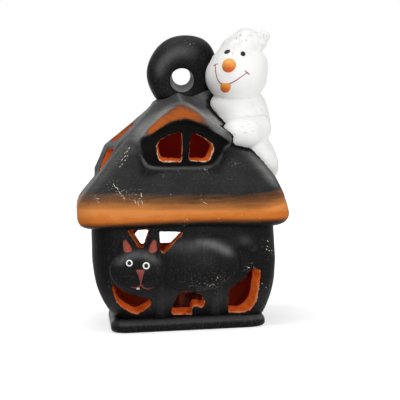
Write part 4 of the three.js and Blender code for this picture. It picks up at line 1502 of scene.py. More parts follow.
        for side, place, size in (("left", (-35.0, 44.6), 2.1), ("right", (-24.9, 42.6), 2.25)):
            patch(f"cat_{side}_eye", oval(place, size, size), 0.25, white, Slot.WHITE)
            patch(f"cat_{side}_pupil", oval(place, 0.7 * size, 0.72 * size), 0.5, black, Slot.BLACK)
        left = [
            (-38.3, 58.4), (-36.6, 58.6), (-33.0, 54.6), (-32.6, 51.4), (-35.6, 50.6), (-38.3, 51.2),
        ]
        right = [
            (-19.8, 57.9), (-17.9, 57.6), (-17.4, 53.0), (-17.6, 50.2), (-21.0, 49.8), (-23.4, 50.4),
            (-22.2, 54.6),
        ]
        nose = [
            (-31.8, 40.9), (-28.6, 40.6), (-25.3, 40.5), (-26.9, 37.2), (-28.3, 31.4), (-28.9, 31.2),
            (-29.8, 36.8),
        ]
        patch("cat_left_inner_ear", rounded_outline(left), 0.12, russet, Slot.ORANGE)
        patch("cat_right_inner_ear", rounded_outline(right), 0.12, russet, Slot.ORANGE)
        patch("cat_nose", rounded_outline(nose), 0.2, russet, Slot.ORANGE)
        patch("cat_tooth", oval((-30.3, 28.7), 1.15, 0.7), 0.3, cream, Slot.WHITE)
        left_mouth = [(-28.6, 31.6), (-29.6, 30.2), (-32.0, 29.5), (-34.8, 30.0)]
        right_mouth = [(-28.6, 31.6), (-27.0, 29.4), (-24.0, 28.2), (-20.8, 28.9)]
        for side, path, width in (
            ("left", left_mouth, (0.4, 0.35, 0.3, 0.15)),
            ("right", right_mouth, (0.42, 0.4, 0.35, 0.15)),
        ):
            rows = paint_line(self.painted, path, width, WALL_START)
            tube_piece(f"cat_mouth_{side}", rows).make(Body.HOUSE, Slot.ORANGE, russet)
        chips = [
            (50.5, 53.9, 51.1, 52.8), (49.5, 48.9, 49.9, 48.1), (51.3, 47.6, 51.9, 47.0),
            (53.2, 47.6, 53.7, 46.8), (48.8, 24.9, 49.3, 24.3), (46.2, 27.7, 46.6, 27.1),
            (37.6, 38.2, 38.6, 37.9), (17.9, 33.6, 18.6, 33.0), (50.2, 50.6, 50.5, 49.9),
        ]
        marks = Scratches("wall_chip_{}", self.painted, WALL_START, (0.12, 0.3, 0.12), 0.07)
        marks.make(chips, Body.HOUSE, Slot.BLACK, bared)


@dataclass
class Roof:
    """The hipped roof fused with its two hooded windows."""

    eave_half_x: float = 65.25
    eave_half_y: float = 53.75
    eave_corner: float = 13.0
    underside: float = 65.1
    eave_top: float = 84.5
    eave_round: float = 6.0
    end_round: float = 9.2
    underside_tilt: float = 0.018
    shoulder: float = 16.0
    shoulder_turn: float = 0.63
    top: float = 142.4
    top_half_x: float = 16.0
    top_half_y: float = 12.5
    top_shift: float = 3.0
    right_fuller: Table = (
        (70.0, 73.0, 76.0, 80.0, 84.0, 88.0, 92.0, 96.0, 100.0, 106.0),
        (0.0, -0.2, -0.55, -0.8, -0.45, 0.3, 1.0, 1.25, 1.05, 0.8),
    )
    hollow_half: Place = (48.8, 38.8)
    hollow_corner: float = 9.0
    slope_wall: Place = (9.1, 8.6)
    ceiling: float = 8.0
    pocket_half: Place = (56.8, 46.8)
    pocket_corner: float = 17.0
    pocket_top: float = 70.3
    face: float = -42.0
    plate: float = -37.0
    plate_back: float = -32.0
    pane_ends: Place = (-44.0, -28.0)
    tunnel_end: float = -15.0
    hood_middle: float = 0.8
    hood_foot: float = 101.2
    hood_end: float = -4.0
    right_cheek: Table = ((100.0, 108.0, 113.0, 118.0, 140.0), (20.0, 25.0, 30.2, 32.4, 37.0))
    left_cheek: Place = (19.0, 0.17)
    ridge: float = 141.5
    ridge_climb: float = 0.18
    left_rake: float = 0.84
    right_rake: float = 0.74
    side_turn: float = 0.24
    side_pivot: float = 16.0
    side_middle: float = 0.5
    side_half: float = 18.0
    well_half: float = 13.0
    side_foot: Place = (-56.0, 94.6)
    side_brow: Place = (-45.8, 115.8)
    side_top: Place = (-14.4, 139.6)
    side_round: float = 4.5
    # the low band fades the orange out towards the underside, partly as painted shade of the eave's lower
    # roll
    low_band: Table = (
        (66.1, 67.1, 68.6, 70.6, 72.1),
        (0.05, 0.12, 0.30, 0.62, 0.82),
    )
    high_band: Table = (
        (73.5, 75.2, 76.4, 77.7, 78.9, 80.1, 81.3, 82.5, 83.8, 85.0, 86.4),
        (0.82, 0.53, 0.44, 0.41, 0.34, 0.28, 0.253, 0.22, 0.19, 0.13, 0.03),
    )
    band_reach: Table = (
        (-60.0, -45.0, 0.0, 37.0, 52.0, 63.0),
        (3.0, 2.4, -0.3, -1.9, -0.6, 2.0),
    )
    roof_box: Box = ((-67.5, -56.0, 60.5), (67.5, 56.0, 149.0))
    side_box: Box = ((-62.0, -30.0, 88.0), (2.0, 30.0, 150.0))
    hood_box: Box = ((-48.0, -56.0, 80.0), (48.0, 0.0, 158.0))
    seat_box: Box = ((-30.0, -24.0, 126.0), (46.0, 24.0, 156.0))
    recess_box: Box = ((-38.0, -62.0, 92.0), (44.0, -28.0, 138.0))
    tunnel_box: Box = ((-38.0, -36.0, 92.0), (44.0, -8.0, 138.0))
    pane_box: Box = ((-24.0, -46.0, 94.0), (30.0, -24.0, 130.0))
    light_box: Box = ((-62.0, -20.0, 90.0), (0.0, 21.0, 146.0))
    slip_box: Box = ((16.0, -46.0, 90.0), (64.0, 12.0, 146.0))
    cell: float = 0.9

    def slope_share(self, z: Array) -> Array:
        """Share of the way from the eave to the flat top."""
        return (z - self.eave_top) / (self.top - self.eave_top)

    def slope_feet(self) -> tuple[Place, Place]:
        """Half sizes where the slopes start above the eave, and how far they run in to the top.

        Returns:
            Half width and half depth, and the two runs.
        """
        back = self.shoulder * (1.0 - math.cos(self.shoulder_turn))
        foot_x, foot_y = self.eave_half_x - back, self.eave_half_y - back
        return (foot_x, foot_y), (foot_x - self.top_half_x, foot_y - self.top_half_y)

    def half_sizes(self, z: Array) -> tuple[Array, Array]:
        """A rolled eave, then straight slopes.

        Args:
            z: Heights.

        Returns:
            Half widths and half depths.
        """
        low = np.linspace(0.0, math.pi / 2, 12)
        high = np.linspace(0.0, self.shoulder_turn, 8)
        upper = self.eave_top + self.shoulder * (np.sin(high) - math.sin(self.shoulder_turn))
        fall = self.shoulder * (1 - np.cos(high))
        across, along = (
            np.interp(
                z,
                np.concatenate([self.underside - 0.6 + r * (1 - np.cos(low)), upper]),
                np.concatenate([r * (1 - np.sin(low)), fall]),
            )
            for r in (self.end_round, self.eave_round)
        )
        share = np.maximum(self.slope_share(z), 0.0)
        _, (run_x, run_y) = self.slope_feet()
        return self.eave_half_x - across - share * run_x, self.eave_half_y - along - share * run_y

    def sag(self, x: Array) -> Array:
        """How far the eave droops from its nominal height, most at the right end."""
        return 0.35 + 0.3 * ease(x, 0.0, -50.0) + 1.6 * ease(x, 5.0, 62.0)

    def slopes(self, points: Array) -> Array:
        """Distance to the plain roof: the plan's distance leaned with the slopes, and two level ends.

        Args:
            points: Places.

        Returns:
            Distances.
        """
        x, y, z = points.T
        z = z + self.sag(x) * ease(z, 84.0, 72.0)
        half_x, half_y = self.half_sizes(z)
        fuller = np.interp(z, *self.right_fuller)
        half_x = half_x + fuller
        share = np.clip(self.slope_share(z), 0.0, 1.2)
        corner = np.minimum(self.eave_corner - 7.0 * share, np.minimum(half_x, half_y) - 0.5)
        middle = fuller + self.top_shift * share
        plan = rounded_plan(x - middle, y, half_x, half_y, np.maximum(corner, 1.0))
        lean = np.interp(z, [self.eave_top - 7.0, self.eave_top + 3.0], [1.0, 0.79])
        body = blend_meet(plan * lean, z - self.top, 3.0)
        return blend_meet(body, self.underside - self.underside_tilt * x - z, 3.0)

    def hood(self, points: Array) -> Array:
        """The front hood: two rakes under a climbing ridge, a face and two cheeks, all rounded.

        Args:
            points: Places.

        Returns:
            Distances.
        """
        x, y, z = points.T
        run = np.clip(y - self.face, -5.0, 34.0)
        aside = (x - self.hood_middle) / (1.0 - 0.006 * np.maximum(run, 0.0))
        rake = np.where(aside < 0.0, self.left_rake, self.right_rake)
        crest = 2.6 + 9.0 * ease(run, 6.0, 28.0)
        fall = rake * (np.sqrt(aside**2 + crest) - 0.5 * np.sqrt(crest) - 0.1)
        rakes = (z - self.ridge - self.ridge_climb * run + fall) * 0.78
        right = x - np.interp(z, *self.right_cheek)
        left = -x - self.left_cheek[0] - self.left_cheek[1] * (z - self.eave_top)
        body = blend_meet(rakes, self.face - y, 4.5)
        body = blend_meet(body, np.maximum(right, left), 3.6)
        body = blend_meet(body, self.hood_foot - z, 4.0)
        return np.maximum(body, y - self.hood_end)

    def recess_outline(self) -> Array:
        """The arched recess under the hood.

        Returns:
            Points on its curve.
        """
        corners = [
            (-19.4, 101.6), (0.0, 101.0), (16.8, 100.8), (20.8, 103.6), (24.2, 108.2), (26.4, 112.4),
            (30.6, 114.8), (22.8, 120.0), (15.0, 125.0), (7.0, 128.6), (0.0, 129.2), (-7.4, 127.0),
            (-13.4, 123.6), (-19.5, 119.6), (-25.4, 118.0), (-24.2, 111.6), (-22.6, 105.6),
        ]
        return rounded_outline(corners, 4)

    def recess(self, points: Array) -> Array:
        """Distance to the recess, open to the front."""
        x, y, z = points.T
        return np.maximum(outline_distance(x, z, self.recess_outline()), y - self.plate)

    def side_outline(self) -> Array:
        """The left hood's section in X and Z: foot, two points under the slope, top and brow."""
        return np.array([self.side_foot, (-36.0, 97.0), (-6.0, 133.0), self.side_top, self.side_brow])

    def side_hood(self, points: Array) -> Array:
        """The left hood: its section, with a rounded brow, carried from front to back.

        Args:
            points: Places.

        Returns:
            Distances.
        """
        outline = drawn_in(self.side_outline(), self.side_round)
        section = outline_distance(self.side_across(points), points[:, 2], outline) - self.side_round
        return blend_meet(section, np.abs(points[:, 1] - self.side_middle) - self.side_half, 4.0)

    def side_across(self, points: Array) -> Array:
        """X in the left hood's section, which is turned a little towards the front."""
        return points[:, 0] - self.side_turn * (self.side_pivot - points[:, 1])

    def ring_seat(self, points: Array) -> Array:
        """The clay smeared round the ring's foot, fuller towards the ghost."""
        seat = ellipsoid(points, (6.0, 0.0, 140.0), (20.0, 10.5, 5.5))
        return blend_union(seat, ellipsoid(points, (19.0, -2.0, 140.5), (10.0, 9.0, 9.0)), 4.0)

    def painted(self, points: Array) -> Array:
        """The painted skin: slopes and hoods softly fused, with the recess pressed in.

        Args:
            points: Places.

        Returns:
            Distances.
        """
        body = self.slopes(points)
        side = inside_box(points, self.side_box, self.side_hood)
        hood = inside_box(points, self.hood_box, self.hood)
        seat = inside_box(points, self.seat_box, self.ring_seat)
        body = blend_union(blend_union(body, side, 4.0), seat, 4.0)
        body = blend_union(body, hood, 4.0 + 3.5 * ease(np.abs(points[:, 0]), 10.0, 24.0))
        recess = inside_box(points, self.recess_box, self.recess)
        body = blend_cut(body, recess, 2.6)
        return body + 0.2 * lumps(points, 38.0, 1.1) + 0.06 * lumps(points, 10.0, 0.2)

    def hollow(self, points: Array) -> Array:
        """Distance to the hollow: up from the wall, then along the slopes, and a pocket for the rim.

        Args:
            points: Places.

        Returns:
            Distances.
        """
        x, y, z = points.T
        share = self.slope_share(z)
        (foot_x, foot_y), (run_x, run_y) = self.slope_feet()
        half_x = np.minimum(self.hollow_half[0], foot_x - share * run_x - self.slope_wall[0])
        half_y = np.minimum(self.hollow_half[1], foot_y - share * run_y - self.slope_wall[1])
        corner = self.hollow_corner - 4.0 * np.clip(share, 0.0, 1.0)
        plan = rounded_plan(x - self.top_shift * np.maximum(share, 0.0), y, half_x, half_y, corner)
        room = np.maximum(plan * 0.8, z - self.top + self.ceiling)
        pocket = rounded_plan(x, y, *self.pocket_half, self.pocket_corner)
        return np.minimum(room, np.maximum(pocket, z - self.pocket_top))

    def tunnel(self, points: Array) -> Array:
        """The space behind the window plate, which joins the hollow.

        Args:
            points: Places.

        Returns:
            Distances.
        """
        x, y, z = points.T
        outline = outline_distance(x, z, self.recess_outline()) + 1.5
        return np.maximum(outline, np.maximum(self.plate_back - y, y - self.tunnel_end))

    def panes(self, points: Array) -> Array:
        """The two hand-cut panes, tapering into the plate.

        Args:
            points: Places.

        Returns:
            Distances.
        """
        depth = np.clip(points[:, 1] - self.plate, 0.0, 5.0)
        left = [
            (-15.3, 114.0), (-14.9, 108.8), (-13.8, 105.0), (-12.0, 104.0), (-1.0, 103.4), (0.3, 104.5),
            (1.0, 114.0), (0.9, 122.4), (-1.5, 122.0), (-7.7, 120.1), (-13.4, 117.3),
        ]
        right = [
            (7.0, 121.7), (5.5, 113.5), (4.7, 104.9), (5.8, 103.7), (15.0, 102.9), (17.8, 103.8),
            (19.9, 108.6), (21.0, 111.1), (19.7, 113.9), (15.6, 117.4), (10.7, 120.3),
        ]
        cuts = [
            Opening(corners, drift, 0.2, 1.6, (0.42, 4.6)).distance(points, depth)
            for corners, drift in ((left, (0.15, 0.45)), (right, (-0.4, 0.45)))
        ]
        ends = np.maximum(self.pane_ends[0] - points[:, 1], points[:, 1] - self.pane_ends[1])
        return np.maximum(np.minimum(*cuts), ends)

    def side_lights(self, points: Array) -> Array:
        """The left hood's two lights and the well behind them: flat slots beside the brow.

        Args:
            points: Places.

        Returns:
            Distances.
        """
        x, y, z = self.side_across(points), points[:, 1], points[:, 2]
        section = outline_distance(x, z, self.side_outline()) + 4.5
        best = np.maximum(section, np.abs(y - self.side_middle) - self.well_half)
        brow = np.array(self.side_brow)
        upper = (self.side_top, 4.2, 21.0, 8.0, 7.0, 0.0)
        lower = (self.side_foot, 2.6, 18.0, -4.5, 9.0, 0.5)
        for end, start, stop, middle, half, taper in (upper, lower):
            along = (np.array(end) - brow) / np.linalg.norm(np.array(end) - brow)
            run = (x - brow[0]) * along[0] + (z - brow[1]) * along[1]
            deep = np.abs((x - brow[0]) * along[1] - (z - brow[1]) * along[0])
            across = np.abs(y - middle) - half + taper * np.maximum(run - 9.0, 0.0)
            slot = np.maximum(np.abs(run - (start + stop) / 2) - (stop - start) / 2, deep - 6.5)
            best = np.minimum(best, blend_meet(slot, across, 3.0))
        return best

    def shape(self, points: Array) -> Array:
        """The whole roof: the painted skin, hollow, with its windows cut through.

        Args:
            points: Places.

        Returns:
            Distances.
        """
        body = blend_cut(self.painted(points), self.hollow(points), 0.8)
        body = blend_cut(body, inside_box(points, self.tunnel_box, self.tunnel), 0.8)
        body = blend_cut(body, inside_box(points, self.pane_box, self.panes), 0.6)
        return blend_cut(body, inside_box(points, self.light_box, self.side_lights), 0.6)

    def warmth(self, points: Array) -> Array:
        """How much orange lies over the black: the eave band and the fascia over the recess.

        Args:
            points: Places.

        Returns:
            Shares from 0 upwards.
        """
        x, y, z = points.T
        # the low band's fade at the bottom is partly painted shade
        low = np.interp(z + self.sag(x), *self.low_band)
        eave = np.minimum(low, np.interp(z - np.interp(x, *self.band_reach), *self.high_band))
        away = outline_distance(x, z, self.recess_outline())
        width = 10.0 - 0.2 * np.abs(x)
        ragged = away + 1.1 * lumps(points, 5.0, 0.9)
        band = ease(ragged, 0.0, 2.2) * ease(away, width + 3.0, width - 5.0)
        band *= ease(y, self.face + 5.0, self.face + 2.0) * ease(z, 118.5, 123.0)
        band *= ease(x, -24.0, -18.0) * ease(x, 22.0, 8.0)
        band *= 0.5 + 0.14 * bell(x, 0.5, 7.0) + 0.48 * bell(x, -15.5, 5.5)
        band *= 1.08 + 0.3 * lumps(points, 4.2, 2.4)
        return np.maximum(eave, band)

    def rubbed(self, points: Array) -> Array:
        """How much grey is painted on as highlights, partly dry brush: the hips, the hoods' rakes, the
        lip under the panes, edges.

        Args:
            points: Places.

        Returns:
            Shares from 0 upwards.
        """
        x, y, z = points.T
        half_x, half_y = self.half_sizes(z)
        share = np.clip(self.slope_share(z), 0.0, 1.0)
        gap = (np.abs(x - self.top_shift * share) - half_x) - (np.abs(y) - half_y)
        strength = np.where(x > 0.0, 0.32 + 0.36 * ease(z, 106.0, 98.0), 0.2)
        hips = bell(gap, 0.0, 5.0) * ease(z, 84.0, 92.0) * strength
        away = outline_distance(x, z, self.recess_outline())
        lip = 0.22 * bell(away, 0.8, 0.9) * ease(z, 108.0, 103.0) * ease(y, -36.0, -39.0)
        rakes = ease(self.hood(points), -1.5, -0.5) * ease(y, -44.0, -39.0) * ease(y, -14.0, -26.0)
        rakes *= np.where(x > self.hood_middle, 1.2, 0.92) * ease(z, 112.0, 120.0) * ease(z, 144.0, 134.0)
        rakes *= (0.35 + 0.65 * ease(x, -31.0, -23.0)) * (1.0 - 0.75 * ease(x, 24.0, 31.0))
        side = ease(self.side_hood(points), -1.2, -0.4) * ease(z, 108.0, 114.0) * 0.16
        edges = ease(bend(self.painted, points, 1.2), 0.12, 0.5) * 0.2 * ease(z, 88.0, 94.0)
        near = np.abs(away)
        cheek = ease(x, 14.0, 19.0) * ease(near, 5.0, 2.5) * ease(y, -28.0, -32.0) * ease(z, 117.0, 113.0)
        arch = ease(near, 2.6, 1.0) * ease(y, -30.0, -36.0) * ease(z, 115.0, 118.0) * ease(x, 22.0, 16.0)
        dull = 1.0 - 0.75 * cheek
        rub = np.maximum(np.maximum(hips, lip * dull), np.maximum(rakes, side)) + edges * dull
        orange = ease(self.warmth(points), 0.1, 0.4) * ease(z, 110.0, 116.0)
        return rub * (1.0 - 0.9 * arch) * (1.0 - 0.8 * orange)

    def dress(self) -> None:
        """Scratches the paint: thin pale strokes on the front slope and the eave."""
        strokes = [
            (-42.7, 92.6, -41.2, 90.0), (-41.2, 90.6, -40.0, 88.9), (-39.3, 88.0, -38.1, 85.9),
            (-37.3, 84.6, -36.0, 83.0), (-30.2, 82.6, -29.7, 80.2), (-26.1, 86.6, -25.8, 83.9),
            (-26.3, 82.4, -25.9, 79.2), (-28.3, 82.4, -27.9, 79.0), (-32.3, 113.1, -31.4, 114.1),
            (-33.6, 111.1, -32.5, 112.2), (-34.8, 110.2, -34.0, 111.1), (-35.2, 107.8, -34.2, 109.3),
            (-36.6, 106.2, -35.9, 107.3), (-34.8, 105.8, -34.2, 106.6), (-36.9, 103.4, -36.2, 104.5),
            (-38.0, 102.1, -37.4, 103.0), (-33.4, 108.6, -32.8, 109.3), (-54.0, 84.7, -51.1, 83.9),
            (10.7, 79.8, 13.8, 78.2), (-44.9, 73.4, -44.2, 73.1), (0.3, 69.9, 1.1, 69.6),
            (33.7, 70.9, 34.3, 70.6), (44.8, 68.6, 45.4, 68.3), (19.8, 69.7, 20.4, 69.5),
            (-30.4, 72.0, -30.0, 71.8),
        ]
        cream, clay = (0.74, 0.66, 0.52), (0.50, 0.40, 0.29)
        pale = DaubedPaint("bared_cream", cream, clay, 40, 110, 0.7).material()
        width, sway = (0.08, 0.24, 0.07), (0.25, 0.1)
        marks = Scratches(
            "roof_scratch_{:02d}", self.painted, ROOF_START, width, 0.07, sway, pace=2.4, waver=0.07
        )
        marks.make(strokes, Body.ROOF, Slot.BLACK, pale)

    def bead(self, points: Array, figure: Field) -> Array:
        """The slip that lutes the figure on: an uneven tube round the line where both skins meet."""
        away = np.hypot(self.painted(points), figure(points))
        return 0.8 * (away - 0.6 - 0.5 * lumps(points, 5.5, 0.6))

    def build(self, clay: Material, figure: Field) -> None:
        """Makes the roof fused with its hoods.

        Args:
            clay: The painted clay's finish.
            figure: The figure that is luted to the right slope.
        """
        bead = partial(self.bead, figure=figure)

        def luted(points: Array) -> Array:
            """The roof with the slip on it."""
            slip = inside_box(points, self.slip_box, bead)
            return blend_union(self.shape(points), slip, 0.8)

        points, quads = field_surface(luted, self.roof_box, self.cell)
        x, y, z = points.T
        spots = [
            (-33, -29, 111, 3.2, 1.0), (-35.5, -32, 107, 2.6, 1.0), (-38, -36, 103, 2.4, 0.8),
            (-43, -45, 90.5, 3.6, 0.9), (-38, -49, 85.5, 3.2, 1.0), (-29, -50, 86, 3.0, 0.9),
            (-28, -52, 81, 3.2, 0.9), (-52, -50, 83, 4.0, 0.7), (15, -41.5, 97.6, 3.2, 0.8),
            (31.5, -37, 101, 2.8, 0.8), (38, -38, 98.8, 2.6, 0.6), (12, -53, 81.5, 3.0, 0.7),
            (-12, -43, 97, 1.6, 0.7), (-19.5, -38, 108.5, 1.8, 0.9), (-1, -41.5, 101.3, 2.2, 0.9),
            (11, -41.5, 101.0, 1.6, 0.9), (45, -50, 70, 3.0, 0.6), (0, -52, 67.5, 3.0, 0.7),
            (-20, -30, 125, 3.0, 0.4), (10, 52, 84, 4.0, 0.25), (-30, 30, 110, 5.0, 0.15),
            (52, 20, 96, 5.0, 0.12), (20, 34, 108, 4.0, 0.15),
        ]
        skin = -in_parts(self.painted, points)
        whole = ease(skin, 0.9, 0.2)
        away = outline_distance(x, z, self.recess_outline())
        depth = ease(y, self.face + 1.0, self.plate - 0.8) * ease(y, -30.0, -34.0)
        # painted shade in the recess round the panes
        recess = 0.95 * ease(away, 0.8, -0.8) * depth * whole
        # black slip and painted shade along the ghost's seam; the painted highlights are taken out there
        seam = ease(in_parts(figure, points) + 1.2 * lumps(points, 6.0, 1.7), 3.4, 1.2) * whole
        measures = clay_measures(
            len(points),
            skin=skin,
            scuff=worn_places(points, spots),
            warm=in_parts(self.warmth, points),
            rub=in_parts(self.rubbed, points) * (1.0 - seam),
            chip=ease(y, -26.0, -32.0),
            shade=np.maximum(recess, 0.85 * seam),
        )
        piece = Piece("roof_with_hoods", points, quads, measures=measures)
        piece.make(Body.ROOF, Slot.BLACK, clay, ["roof_shell", "front_dormer", "left_dormer"])


@dataclass
class Ring:
    """The fat carrying ring, a pebble with a finger hole below its middle."""

    middle_x: float = 4.6
    middle_z: float = 160.6
    radius: float = 22.8
    bore_z: float = 154.8
    bore: float = 7.6
    back_bore: float = 5.8
    back_shift: Place = (0.4, 3.2)
    half: float = 8.4
    lip: float = 6.3

    def reach(self, angle: Array, shift: Place, radius: float) -> Array:
        """Distance from the bore's middle to a shifted circle along each angle."""
        along = shift[0] * np.cos(angle) + shift[1] * np.sin(angle)
        return along + np.sqrt(along**2 + radius**2 - shift[0] ** 2 - shift[1] ** 2)

    def build(self, clay: Material) -> None:
        """Carries a section round the bore: a lip, a dome that is fullest halfway, and the bore's wall.

        Args:
            clay: The painted clay's finish.
        """
        angle = full_turn(120)
        outer = self.reach(angle, (0.4, self.middle_z - self.bore_z), self.radius)
        flat_side, heel, brow = bell(angle, 2.4, 0.5), bell(angle, 3.85, 0.35), bell(angle, 0.95, 0.4)
        outer = outer * (1.0 - 0.045 * flat_side + 0.07 * heel + 0.075 * brow)
        front = np.full(len(angle), self.bore)
        back = self.reach(angle, self.back_shift, self.back_bore)
        fullest = 0.46
        close, even, far = [0.0, 0.012, 0.035], np.linspace(0.07, 0.86, 18), [0.91, 0.95, 0.98, 0.995]
        share = np.concatenate([close, even, far])
        rise = np.sin(np.clip(share / fullest, 0.0, 1.0) * math.pi / 2)
        past = np.clip(share - fullest, 0.0, 1.0) / (1.0 - fullest)
        dome = (self.lip + (self.half - self.lip) * rise) * np.sqrt(np.clip(1.0 - past**2.1, 0.0, 1.0))
        dome[:2] -= [0.55, 0.12]
        wall = np.linspace(0.0, 1.0, 12)[1:-1]
        front_rows = front + share[:, None] * (outer - front)
        back_rows = back + share[::-1, None] * (outer - back)
        wall_rows = back + wall[:, None] * (front - back)
        radii = np.concatenate([front_rows, outer[None], back_rows, wall_rows])
        depth = np.concatenate([-dome, [0.0], dome[::-1], dome[0] - wall * (dome[0] * 2.0)])
        x = self.middle_x + radii * np.cos(angle)
        z = self.bore_z + radii * np.sin(angle)
        flat = loops(x, depth[:, None], z).reshape(-1, 3)
        flat[:, 1] += 0.14 * lumps(flat, 21.0, 0.7)
        # painted highlight: a grey band on the upper left of the front and, weaker, of the back
        band = bell(share, 0.5, 0.2)[:, None] * ease(np.cos(angle - 2.0), 0.4, 0.95) * 0.32
        # painted light on the lower bore wall, which faces up
        in_bore = np.broadcast_to(ease(np.sin(angle), 0.3, -0.5), wall_rows.shape)
        rub = np.concatenate([band, np.zeros((1, len(angle))), 0.3 * band[::-1], in_bore])
        faces_front = (np.arange(len(radii)) < len(share))[:, None]
        # painted shade on the lower right of the ring's front, away from the light
        dull = 0.45 * ease(np.cos(angle - 2.35), 0.4, -0.4) * faces_front
        spots = [(-14, -6, 172, 3.0, 0.5), (10, -8, 178, 3.0, 0.4), (20, 6, 172, 4.0, 0.15)]
        measures = clay_measures(
            len(flat), scuff=worn_places(flat, spots), rub=rub.ravel(), shade=dull.ravel()
        )
        quads = grid_quads(len(radii), len(angle), closed=True)
        ring = Piece("carrying_ring", flat, quads, measures=measures)
        ring.make(Body.ROOF, Slot.BLACK, clay, ["ring_handle"])


